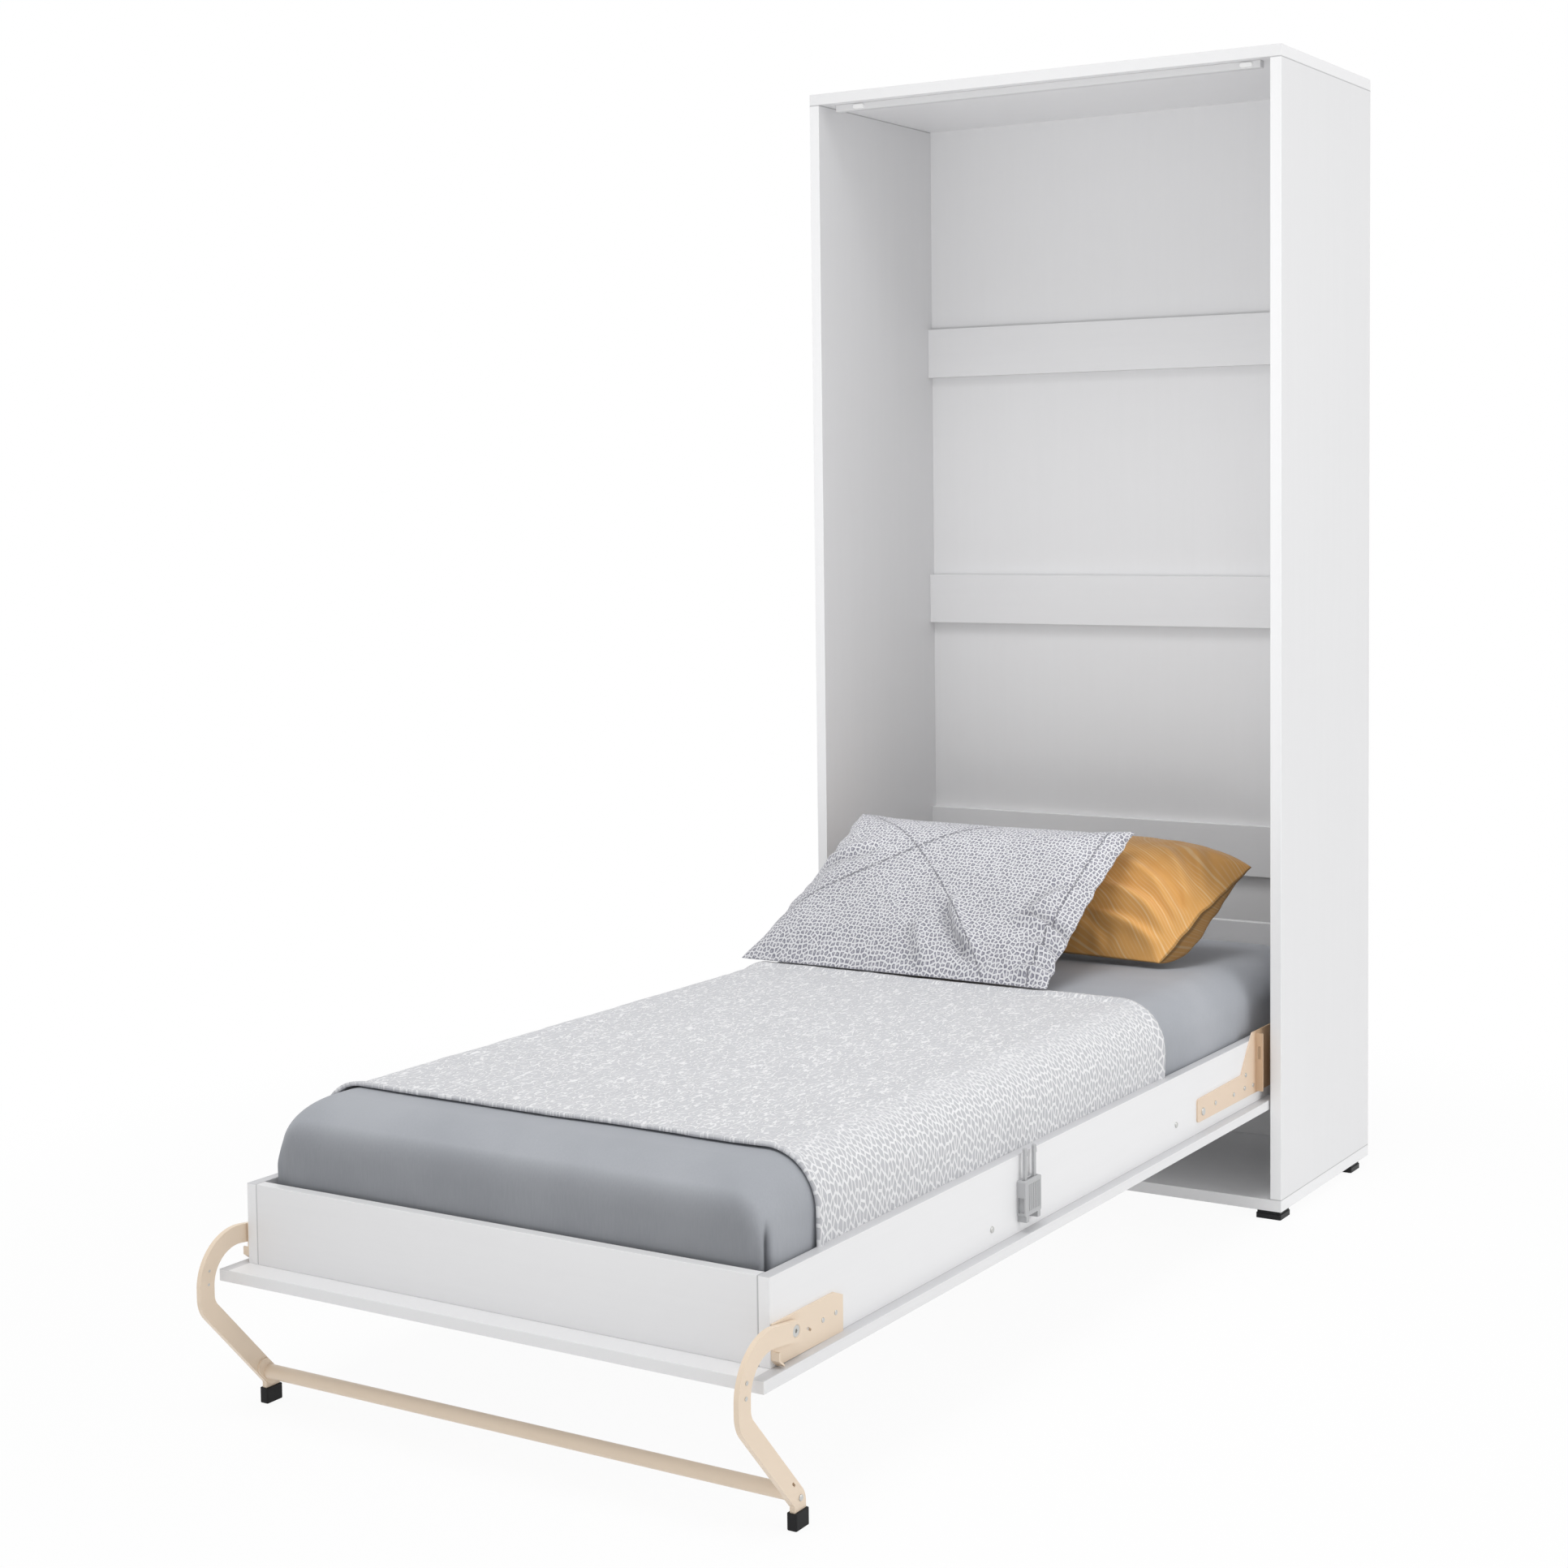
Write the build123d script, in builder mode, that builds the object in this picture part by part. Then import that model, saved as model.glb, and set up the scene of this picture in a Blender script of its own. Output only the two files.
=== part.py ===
from build123d import *
from math import cos, radians, sin, sqrt
import os

# Murphy wall bed: a cabinet that stands against a wall and a single bed that folds up into it.
# Millimetres. x runs across the bed, y from the foot of the bed towards the wall, z up.
# Depths are counted from the cabinet's front edges: less than zero is out in the room.
# The origin lies on the floor under the middle of the opened bed.

# Mattress and boards
mattress_width = 900
mattress_length = 2000
mattress_height = 209.5
carcass_board = 22
bed_board = 18
cabinet_depth = 478
foot_height = 16
edge_round = 0.8

# Heights and gaps of the bed box
pivot_height = 329
bed_underside = 211
rail_height = 123
head_board_height = 276
mattress_side_gap = 4
mattress_foot_gap = 5
mattress_head_gap = 2
door_side_gap = 3
door_top_gap = 6
door_side_lip = 18
door_foot_lip = 43
door_head_lip = 20
floor_sweep_gap = 7.3
slat_thickness = 8
slat_width = 68
slat_count = 15
slat_gap = 0.5
bearer_width = 20
bearer_height = 21

# Back of the cabinet
back_panel_thickness = 4
back_panel_inset = 12
groove_depth = 8
groove_play = 0.4
cross_rail_height = 106
cross_rail_bottoms = {"upper": 1643, "middle": 1101, "lower": 582}

# Stop batten under the top
batten_height = 14
batten_depth = 18
batten_setback = 22
batten_end_gap = 28
bumper_width = 26
bumper_height = 9
bumper_thickness = 3.5
bumper_places = (-410, 437)

# Cabinet feet
foot_size = 50
foot_step = 1.5
foot_front_inset = 2
foot_rear_inset = 44

# Pivot
pin_radius = 8
running_gap = 0.3
bush_wall = 2
bush_flange_radius = 14
bush_flange = 3
collar_radius = 13
plate_thickness = 3
plate_size = (110, 150)
plate_corner = 12
plate_screw_spacing = (76, 116)
pin_tail_radius = 6
pin_tail = 9
seat_play = 0.1

# Gas springs
spring_lever = 90
spring_closed_length = 259
spring_tube_radius = 7.5
spring_tube_wall = 1
spring_tube_length = 197
spring_rod_radius = 3
spring_piston_radius = 6
eye_radius = 8
eye_width = 8
eye_neck = 10
stud_radius = 4
stud_head_radius = 6
stud_flange_radius = 10
stud_tail = 12

# Hinge brackets, beside the side rails
bracket_plate = 3
hinge_arm = 416
hinge_arm_bottom = 81
hinge_flange_from_pivot = 143
hinge_slot = (6, 26)
large_hinge_screw = (-393, -63)
small_hinge_screws = [(-252, -62), (-200, -61), (-159, -63), (-337, -59), (-195, -37)]
rail_screws_from_pivot = (-1190, -505)
rail_screw_lifts = (27, 37)
screw_head = 2.2
screw_radius = 2

# Leg frame
leg_pivot_from_foot = 45
leg_pivot_below_rail = 83
leg_width = 28
leg_thickness = 8
leg_reach = 125
leg_rise = 15.7
leg_knee_drop = 86
leg_ankle_height = 38.6
leg_ankle_shift = 3.5
leg_arch_radius = 65
leg_bend_radius = 37
leg_bolt_radius = 6
leg_bracket_plate = 3.5
leg_bracket_tail = 132
leg_bracket_nose = 43
leg_bracket_rise = 20
leg_bracket_drop = 40
leg_stop_fold = 3
leg_washer = 1.5
cap_height = 24
cap_wall = 2.5
cap_side = 4
cross_bar_radius = 11
cross_bar_wall = 1.5
cross_bar_height = 50
cross_bar_flange = 3
cross_bar_flange_size = (50, 26)

# Strap buckles on the side rails
buckle_from_pivot = 1081
buckle_length = 54
buckle_height = 56
buckle_thickness = 15.5
buckle_lift = 27
prong_length = 50
prong_width = 12
prong_barb = 2.5
prong_spacing = 30
tongue_thickness = 4.5
tongue_gap = 0.3

# Bedding
mattress_edge = 80
mattress_corner = 50
cover_thickness = 2.4
cover_gap = 0.5
cover_from_foot = 122
cover_from_head = 740
cover_drop = 178

# Worked out from the sizes above
inside_half = mattress_width / 2 + mattress_side_gap
box_half = inside_half + bed_board
door_half = box_half + door_side_lip
cabinet_inside_half = door_half + door_side_gap
cabinet_half = cabinet_inside_half + carcass_board
floor_top = foot_height + carcass_board
pivot_depth = pivot_height - bed_underside
sweep_radius = pivot_height - floor_top - floor_sweep_gap
door_head = pivot_depth + sqrt(sweep_radius**2 - pivot_depth**2)
box_head = door_head - door_head_lip
mattress_head = box_head - bed_board - mattress_head_gap
mattress_foot = mattress_head - mattress_length
box_foot = mattress_foot - mattress_foot_gap - bed_board
door_foot = box_foot - door_foot_lip
inner_top = pivot_height + pivot_depth - door_foot + door_top_gap
cabinet_height = inner_top + carcass_board
door_top = bed_underside + bed_board
rail_top = door_top + rail_height
bearer_bottom = door_top + 10
slat_bottom = bearer_bottom + bearer_height
mattress_bottom = slat_bottom + slat_thickness + slat_gap
mattress_top = mattress_bottom + mattress_height
back_panel_front = cabinet_depth - back_panel_inset - back_panel_thickness
cross_rail_front = back_panel_front - bed_board
leg_pivot = (box_foot + leg_pivot_from_foot, rail_top - leg_pivot_below_rail)
leg_outermost = leg_pivot[0] - leg_reach - leg_width / 2
front = -(leg_outermost + cabinet_depth) / 2

os.makedirs("parts", exist_ok=True)


# Planes that count depth from the cabinet's front edges
def side_plane(x):
    """Looks along x: local x is depth, local y is height."""
    return Plane(origin=(x, front, 0), x_dir=(0, 1, 0), z_dir=(1, 0, 0))


def level_plane(z):
    """Looks down: local x is width, local y is depth."""
    return Plane(origin=(0, front, z))


def cross_plane(depth):
    """Looks along y: local x is width, local y is height, and it faces the room."""
    return Plane(origin=(0, front + depth, 0), x_dir=(1, 0, 0), z_dir=(0, -1, 0))


def save(piece, name):
    piece.part.label = name
    export_step(piece.part, f"parts/{name}.step")


def save_pair(right_piece, name):
    """Writes the right piece and its mirror image on the left."""
    with BuildPart() as left_piece:
        mirror(right_piece.part, about=Plane.YZ)
    save(left_piece, f"{name}_left")
    save(right_piece, f"{name}_right")


def board(across, deep, high, rounding=edge_round):
    """A board from its lowest and highest width, depth and height, with its edges eased."""
    with BuildPart() as piece:
        with BuildSketch(level_plane(high[0])):
            with Locations(((across[0] + across[1]) / 2, (deep[0] + deep[1]) / 2)):
                Rectangle(across[1] - across[0], deep[1] - deep[0])
        extrude(amount=high[1] - high[0])
        fillet(piece.edges(), radius=rounding)
    return piece


def pan_screws(face, places, head_radius, head_height, length):
    """Right-hand screws whose domed heads stand on a face, and their images on the left."""
    with BuildPart() as screws:
        for place in places:
            with BuildSketch(side_plane(face)):
                with Locations(place):
                    Circle(head_radius)
            extrude(amount=head_height)
            dome = screws.faces(Select.LAST).sort_by(Axis.X)[-1]
            fillet(dome.edges(), radius=head_height * 0.6)
            with BuildSketch(side_plane(face)):
                with Locations(place):
                    Circle(screw_radius)
            extrude(amount=-length)
        mirror(about=Plane.YZ)
    return screws


pivot = (pivot_depth, pivot_height)
spring_top = (pivot_depth + spring_lever, pivot_height + spring_closed_length)
spring_foot = (pivot_depth + spring_lever, pivot_height)
plate_face = cabinet_inside_half + plate_thickness
plate_screws = [
    (pivot[0] + i * plate_screw_spacing[0] / 2, pivot[1] + j * plate_screw_spacing[1] / 2)
    for i in (-1, 1)
    for j in (-1, 0, 1)
]

# Cabinet: side panels, grooved for the back, with a pocket for the pivot plate
base_screw_depths = (40, cabinet_depth / 2, cabinet_depth - 50)
base_screw_radius = 2.5
base_screw_length = 50
base_screw_head = 4
panel_middle = cabinet_half - carcass_board / 2
with BuildPart() as side_panel:
    add(
        board(
            (cabinet_inside_half, cabinet_half), (0, cabinet_depth), (floor_top, inner_top)
        ).part
    )
    with BuildSketch(level_plane(floor_top)):
        with Locations((cabinet_inside_half, back_panel_front + back_panel_thickness / 2)):
            Rectangle(2 * groove_depth, back_panel_thickness + groove_play)
    extrude(amount=inner_top - floor_top, mode=Mode.SUBTRACT)
    with BuildSketch(side_plane(cabinet_inside_half)):
        with Locations(pivot):
            RectangleRounded(
                plate_size[0] + groove_play, plate_size[1] + groove_play, plate_corner
            )
    extrude(amount=plate_thickness, mode=Mode.SUBTRACT)
    with BuildSketch(side_plane(plate_face)):
        with Locations(pivot):
            Circle(pin_tail_radius + seat_play)
        with Locations(*plate_screws):
            Circle(screw_radius + seat_play)
    extrude(amount=pin_tail + 1, mode=Mode.SUBTRACT)
    with BuildSketch(side_plane(cabinet_inside_half)):
        with Locations(spring_top):
            Circle(stud_radius + seat_play)
    extrude(amount=stud_tail + 1, mode=Mode.SUBTRACT)
    with BuildSketch(level_plane(floor_top)):
        with Locations(*[(panel_middle, depth) for depth in base_screw_depths]):
            Circle(base_screw_radius + seat_play)
    extrude(amount=base_screw_length - carcass_board + 2, mode=Mode.SUBTRACT)
save_pair(side_panel, "side_panel")

# The top lies over the side panels, and the bottom lies under them
with BuildPart() as top_panel:
    add(
        board(
            (-cabinet_half, cabinet_half), (0, cabinet_depth), (inner_top, cabinet_height)
        ).part
    )
    with BuildSketch(level_plane(inner_top)):
        with Locations((0, back_panel_front + back_panel_thickness / 2)):
            Rectangle(
                2 * (cabinet_inside_half + groove_depth), back_panel_thickness + groove_play
            )
    extrude(amount=groove_depth, mode=Mode.SUBTRACT)
save(top_panel, "top_panel")

base_screw_places = [
    (side * panel_middle, depth) for side in (-1, 1) for depth in base_screw_depths
]
with BuildPart() as bottom_panel:
    add(
        board(
            (-cabinet_half, cabinet_half), (0, cabinet_depth), (foot_height, floor_top)
        ).part
    )
    with BuildSketch(level_plane(floor_top)):
        with Locations((0, back_panel_front + back_panel_thickness / 2)):
            Rectangle(
                2 * (cabinet_inside_half + groove_depth), back_panel_thickness + groove_play
            )
    extrude(amount=-groove_depth, mode=Mode.SUBTRACT)
    with BuildSketch(level_plane(foot_height)):
        with Locations(*base_screw_places):
            Circle(base_screw_radius + seat_play)
    extrude(amount=carcass_board, mode=Mode.SUBTRACT)
    with BuildSketch(level_plane(foot_height)):
        with Locations(*base_screw_places):
            Circle(2 * base_screw_radius + seat_play)
    extrude(amount=base_screw_head, mode=Mode.SUBTRACT)
save(bottom_panel, "bottom_panel")

with BuildPart() as bottom_panel_screws:
    with BuildSketch(level_plane(foot_height)):
        with Locations(*base_screw_places):
            Circle(2 * base_screw_radius)
    extrude(amount=base_screw_head)
    with BuildSketch(level_plane(foot_height)):
        with Locations(*base_screw_places):
            Circle(base_screw_radius)
    extrude(amount=base_screw_length)
save(bottom_panel_screws, "bottom_panel_screws")

# Back panel in its grooves, and the cross rails in front of it
with BuildPart() as back_panel:
    with BuildSketch(cross_plane(back_panel_front)):
        with Locations((0, (inner_top + floor_top) / 2)):
            Rectangle(
                2 * (cabinet_inside_half + groove_depth) - 1,
                inner_top - floor_top + 2 * groove_depth - 1,
            )
    extrude(amount=-back_panel_thickness)
save(back_panel, "back_panel")

for name, bottom in {**cross_rail_bottoms, "bottom": floor_top}.items():
    back_rail = board(
        (-cabinet_inside_half, cabinet_inside_half),
        (cross_rail_front, back_panel_front),
        (bottom, bottom + cross_rail_height),
    )
    save(back_rail, f"back_rail_{name}")

# The batten stops the closed door, which meets its two bumpers
batten_half = cabinet_inside_half - batten_end_gap
top_stop_batten = board(
    (-batten_half, batten_half),
    (batten_setback, batten_setback + batten_depth),
    (inner_top - batten_height, inner_top),
    rounding=1.5,
)
save(top_stop_batten, "top_stop_batten")

with BuildPart() as door_bumpers:
    with BuildSketch(cross_plane(batten_setback)):
        with Locations(*[(x, inner_top - batten_height / 2) for x in bumper_places]):
            SlotOverall(bumper_width, bumper_height)
    extrude(amount=bumper_thickness)
    fillet(door_bumpers.faces().group_by(Axis.Y)[0].edges(), radius=bumper_thickness / 2)
save(door_bumpers, "door_bumpers")

# Square stepped feet
foot_x = cabinet_half - foot_front_inset - foot_size / 2
foot_depths = (
    foot_front_inset + foot_size / 2,
    cabinet_depth - foot_rear_inset - foot_size / 2,
)
foot_places = [(side * foot_x, depth) for side in (-1, 1) for depth in foot_depths]
with BuildPart() as cabinet_feet:
    with BuildSketch(level_plane(0)):
        with Locations(*foot_places):
            RectangleRounded(foot_size, foot_size, 3)
    extrude(amount=foot_height * 0.6)
    with BuildSketch(level_plane(foot_height * 0.6)):
        with Locations(*foot_places):
            RectangleRounded(foot_size - 2 * foot_step, foot_size - 2 * foot_step, 3)
    extrude(amount=foot_height * 0.4)
save(cabinet_feet, "cabinet_feet")

# Pivot plates, let into the side panels, with their screws and pins
with BuildPart() as pivot_plate:
    with BuildSketch(side_plane(cabinet_inside_half)):
        with Locations(pivot):
            RectangleRounded(*plate_size, plate_corner)
            Circle(pin_tail_radius + seat_play, mode=Mode.SUBTRACT)
        with Locations(*plate_screws):
            Circle(2 * screw_radius + seat_play, mode=Mode.SUBTRACT)
    extrude(amount=plate_thickness)
save_pair(pivot_plate, "pivot_plate")

with BuildPart() as pivot_plate_screws:
    with BuildSketch(side_plane(cabinet_inside_half + 0.2)):
        with Locations(*plate_screws):
            Circle(2 * screw_radius)
    extrude(amount=plate_thickness - 0.2)
    with BuildSketch(side_plane(plate_face)):
        with Locations(*plate_screws):
            Circle(screw_radius)
    extrude(amount=pin_tail)
    mirror(about=Plane.YZ)
save(pivot_plate_screws, "pivot_plate_screws")

bush_face = box_half + bracket_plate
collar_face = bush_face + bush_flange + running_gap
with BuildPart() as pivot_pin:
    with BuildSketch(side_plane(inside_half + 1)):
        with Locations(pivot):
            Circle(pin_radius)
    extrude(amount=collar_face - inside_half - 1)
    chamfer(pivot_pin.faces().sort_by(Axis.X)[0].edges(), length=1)
    with BuildSketch(side_plane(collar_face)):
        with Locations(pivot):
            Circle(collar_radius)
    extrude(amount=cabinet_inside_half - collar_face)
    with BuildSketch(side_plane(cabinet_inside_half)):
        with Locations(pivot):
            Circle(pin_tail_radius)
    extrude(amount=plate_thickness + pin_tail)
save_pair(pivot_pin, "pivot_pin")

# Bed box: rails, foot and head boards, and the door underneath them
bush_radius = pin_radius + running_gap + bush_wall
hinge_screws = {
    "large": [(pivot[0] + large_hinge_screw[0], pivot[1] + large_hinge_screw[1])],
    "small": [(pivot[0] + y, pivot[1] + z) for y, z in small_hinge_screws],
}
rail_screw_places = [
    (pivot[0] + away, door_top + lift)
    for away, lift in zip(rail_screws_from_pivot, rail_screw_lifts)
]
leg_rivets = [(leg_pivot[0] + 80, leg_pivot[1] - 10), (leg_pivot[0] + 113, leg_pivot[1] - 9)]
screw_length = bed_board - 4
with BuildPart() as side_rail:
    add(board((inside_half, box_half), (box_foot, box_head), (door_top, rail_top)).part)
    with BuildSketch(side_plane(box_half)):
        with Locations(pivot):
            Circle(bush_radius + seat_play)
        with Locations(leg_pivot):
            Circle(leg_bolt_radius + seat_play)
    extrude(amount=-bed_board, mode=Mode.SUBTRACT)
    with BuildSketch(side_plane(box_half)):
        with Locations(*hinge_screws["large"], *hinge_screws["small"]):
            Circle(screw_radius + seat_play)
        with Locations(*rail_screw_places, *leg_rivets):
            Circle(screw_radius + seat_play)
    extrude(amount=-screw_length - 1, mode=Mode.SUBTRACT)
save_pair(side_rail, "side_rail")

foot_board = board(
    (-inside_half, inside_half), (box_foot, box_foot + bed_board), (door_top, rail_top)
)
save(foot_board, "foot_board")

head_board = board(
    (-inside_half, inside_half),
    (box_head - bed_board, box_head),
    (door_top, door_top + head_board_height),
)
save(head_board, "head_board")

door_panel = board((-door_half, door_half), (door_foot, door_head), (bed_underside, door_top))
save(door_panel, "door_panel")

slat_bearer = board(
    (inside_half - bearer_width, inside_half),
    (box_foot + bed_board, box_head - bed_board),
    (bearer_bottom, slat_bottom),
)
save_pair(slat_bearer, "slat_bearer")

slat_pitch = (mattress_length - slat_width - 20) / (slat_count - 1)
with BuildPart() as bed_slats:
    with BuildSketch(level_plane(slat_bottom)):
        with Locations((0, (mattress_foot + mattress_head) / 2)):
            with GridLocations(0, slat_pitch, 1, slat_count):
                RectangleRounded(2 * inside_half - 4, slat_width, 4)
    extrude(amount=slat_thickness)
save(bed_slats, "bed_slats")

# Nylon bush round the pivot pin, its flange against the hinge bracket
with BuildPart() as pivot_bush:
    with BuildSketch(side_plane(inside_half + 1)):
        with Locations(pivot):
            Circle(bush_radius)
    extrude(amount=bush_face - inside_half - 1)
    with BuildSketch(side_plane(bush_face)):
        with Locations(pivot):
            Circle(bush_flange_radius)
    extrude(amount=bush_flange)
    with BuildSketch(side_plane(inside_half)):
        with Locations(pivot):
            Circle(pin_radius + running_gap)
    extrude(amount=bed_board + bracket_plate + bush_flange + 2, mode=Mode.SUBTRACT)
save_pair(pivot_bush, "pivot_bush")

# Hinge bracket: a low arm that rises to the pivot, and a slotted flange across the gap
hinge_top = pivot_height + 37
hinge_bottom = pivot_height - hinge_arm_bottom
hinge_tail = pivot_depth + spring_lever + 32
hinge_toe = pivot_depth - hinge_arm
flange_depth = pivot_depth - hinge_flange_from_pivot
flange_edge = door_half - 0.5
with BuildPart() as hinge_bracket:
    with BuildSketch(side_plane(box_half)):
        with BuildLine():
            FilletPolyline(
                (hinge_toe, hinge_bottom + 2),
                (hinge_toe, hinge_bottom + 44),
                (flange_depth - 71, hinge_bottom + 47),
                (flange_depth - 18, hinge_top),
                (hinge_tail, hinge_top),
                (hinge_tail, hinge_bottom),
                radius=5,
                close=True,
            )
        make_face()
        with Locations(pivot):
            Circle(bush_radius + seat_play, mode=Mode.SUBTRACT)
        with Locations(*hinge_screws["large"], *hinge_screws["small"]):
            Circle(screw_radius + seat_play, mode=Mode.SUBTRACT)
    extrude(amount=bracket_plate)
    with BuildSketch(cross_plane(flange_depth)):
        with Locations(((box_half + flange_edge) / 2, (hinge_top + hinge_bottom) / 2)):
            Rectangle(flange_edge - box_half, hinge_top - hinge_bottom - 8)
        with Locations(((bush_face + flange_edge) / 2, pivot_height - 4)):
            SlotOverall(hinge_slot[1], hinge_slot[0], rotation=90, mode=Mode.SUBTRACT)
    extrude(amount=bracket_plate)
save_pair(hinge_bracket, "hinge_bracket")

with BuildPart() as hinge_bracket_screws:
    add(pan_screws(bush_face, hinge_screws["large"], 7, screw_head, screw_length).part)
    add(pan_screws(bush_face, hinge_screws["small"], 4, screw_head * 0.8, screw_length).part)
save(hinge_bracket_screws, "hinge_bracket_screws")

rail_screws = pan_screws(box_half, rail_screw_places, 5, screw_head, screw_length)
save(rail_screws, "rail_screws")

# Leg bracket: a plate with a folded stop under the leg
bracket_bottom = leg_pivot[1] - leg_bracket_drop
bracket_top = leg_pivot[1] + leg_bracket_rise
bracket_tail = leg_pivot[0] + leg_bracket_tail
bracket_nose = leg_pivot[0] - leg_bracket_nose
bracket_face = box_half + leg_bracket_plate
with BuildPart() as leg_bracket:
    with BuildSketch(side_plane(box_half)):
        with BuildLine():
            Polyline(
                (leg_pivot[0] - 32, bracket_bottom + 1),
                (bracket_tail, bracket_bottom),
                (bracket_tail, bracket_top - 9),
                (bracket_tail - 22, bracket_top),
                (bracket_nose, bracket_top),
                (bracket_nose, bracket_bottom + 11),
                close=True,
            )
        make_face()
        with Locations(leg_pivot):
            Circle(leg_bolt_radius + seat_play, mode=Mode.SUBTRACT)
        with Locations(*leg_rivets):
            Circle(screw_radius + seat_play, mode=Mode.SUBTRACT)
        with Locations((leg_pivot[0] + 45, leg_pivot[1] - 12)):
            SlotOverall(12, 4, rotation=-30, mode=Mode.SUBTRACT)
    extrude(amount=leg_bracket_plate)
    with BuildSketch(side_plane(box_half)):
        with BuildLine():
            Polyline(
                (leg_pivot[0] - 30, bracket_bottom + 1),
                (bracket_nose, bracket_bottom + 11),
                (bracket_nose, bracket_bottom + 23),
                (bracket_nose + leg_stop_fold, bracket_bottom + 23),
                (bracket_nose + leg_stop_fold, bracket_bottom + 12),
                (leg_pivot[0] - 30, bracket_bottom + 4),
                close=True,
            )
        make_face()
    extrude(amount=leg_bracket_plate + leg_washer + leg_thickness)
save_pair(leg_bracket, "leg_bracket")

leg_bracket_rivets = pan_screws(bracket_face, leg_rivets, 3.5, 1, screw_length)
save(leg_bracket_rivets, "leg_bracket_rivets")

# The leg turns on a countersunk bolt, with a nylon washer behind it
leg_inner = bracket_face + leg_washer
leg_outer = leg_inner + leg_thickness
bolt_head_radius = leg_bolt_radius + 2
with BuildPart() as leg_pivot_bolt:
    with BuildSketch(side_plane(inside_half + 1)):
        with Locations(leg_pivot):
            Circle(leg_bolt_radius)
    extrude(amount=leg_outer - 3 - inside_half - 1)
    with BuildSketch(side_plane(leg_outer - 3)):
        with Locations(leg_pivot):
            Circle(leg_bolt_radius)
    with BuildSketch(side_plane(leg_outer - 1)):
        with Locations(leg_pivot):
            Circle(bolt_head_radius)
    loft()
    with BuildSketch(side_plane(leg_outer - 1)):
        with Locations(leg_pivot):
            RegularPolygon(3, 6)
    extrude(amount=-2, mode=Mode.SUBTRACT)
save_pair(leg_pivot_bolt, "leg_pivot_bolt")

with BuildPart() as leg_washers:
    with BuildSketch(side_plane(bracket_face)):
        with Locations(leg_pivot):
            Circle(12)
            Circle(leg_bolt_radius + seat_play, mode=Mode.SUBTRACT)
    extrude(amount=leg_washer - running_gap)
    mirror(about=Plane.YZ)
save(leg_washers, "leg_washers")

# Leg: a flat strip that arches round the foot of the bed and comes back under it
shoulder = (leg_pivot[0] - leg_reach, leg_pivot[1] + leg_rise)
knee = (leg_pivot[0] - leg_reach, leg_pivot[1] - leg_knee_drop)
ankle = (leg_pivot[0] + leg_ankle_shift, leg_ankle_height)
leg_end = (ankle[0], cap_wall + leg_width / 2)
slope = (ankle[0] - knee[0]) / (knee[1] - ankle[1])
cross_bar_depth = ankle[0] - (cross_bar_height - ankle[1]) * slope
cross_bar_middle = (cross_bar_depth, cross_bar_height)
bar_bolt = (cross_bar_depth + 11, cross_bar_height - 9)
leg_slot = (cross_bar_depth - 5, cross_bar_height + 14)
strip_rivets = [(leg_pivot[0] - 120, leg_pivot[1] - 33), (leg_pivot[0] - 122, leg_pivot[1] - 53)]
with BuildLine() as strip_line:
    FilletPolyline(
        leg_pivot,
        shoulder,
        knee,
        ankle,
        leg_end,
        radius=[leg_arch_radius, leg_bend_radius, leg_bend_radius / 2],
    )
with BuildPart() as leg:
    with BuildSketch(side_plane(leg_inner)):
        SlotArc(strip_line.wire(), leg_width)
        with Locations(leg_pivot):
            Circle(leg_bolt_radius + running_gap, mode=Mode.SUBTRACT)
        with Locations(leg_slot):
            SlotOverall(9, 4, rotation=-45, mode=Mode.SUBTRACT)
        with Locations(bar_bolt, *strip_rivets):
            Circle(screw_radius + seat_play, mode=Mode.SUBTRACT)
    extrude(amount=leg_thickness)
    with BuildSketch(side_plane(leg_outer - 3 - running_gap)):
        with Locations(leg_pivot):
            Circle(leg_bolt_radius + running_gap)
    with BuildSketch(side_plane(leg_outer)):
        with Locations(leg_pivot):
            Circle(bolt_head_radius + 1 + running_gap)
    loft(mode=Mode.SUBTRACT)
save_pair(leg, "leg")

with BuildPart() as leg_bolts:
    with BuildSketch(side_plane(leg_outer)):
        with Locations(bar_bolt):
            Circle(4.5)
    extrude(amount=2)
    fillet(leg_bolts.faces().sort_by(Axis.X)[-1].edges(), radius=1.2)
    with BuildSketch(side_plane(leg_outer)):
        with Locations(bar_bolt):
            Circle(screw_radius)
    extrude(amount=-leg_thickness - cross_bar_flange + 0.5)
    for place in strip_rivets:
        with BuildSketch(side_plane(leg_outer)):
            with Locations(place):
                Circle(3)
        extrude(amount=0.8)
        with BuildSketch(side_plane(leg_outer)):
            with Locations(place):
                Circle(screw_radius)
        extrude(amount=-leg_thickness)
    mirror(about=Plane.YZ)
save(leg_bolts, "leg_bolts")

# The cross bar is a tube with a welded flange at each end, bolted between the legs
with BuildPart() as leg_crossbar:
    with BuildSketch(side_plane(-leg_inner)):
        with Locations(cross_bar_middle):
            Circle(cross_bar_radius)
    extrude(amount=2 * leg_inner)
    for face in (leg_inner - cross_bar_flange, -leg_inner):
        with BuildSketch(side_plane(face)):
            with Locations(cross_bar_middle):
                SlotOverall(*cross_bar_flange_size, rotation=-48)
            with Locations(bar_bolt):
                Circle(screw_radius + seat_play, mode=Mode.SUBTRACT)
        extrude(amount=cross_bar_flange)
    with BuildSketch(side_plane(-leg_inner)):
        with Locations(cross_bar_middle):
            Circle(cross_bar_radius - cross_bar_wall)
    extrude(amount=2 * leg_inner, mode=Mode.SUBTRACT)
save(leg_crossbar, "leg_crossbar")

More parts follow.
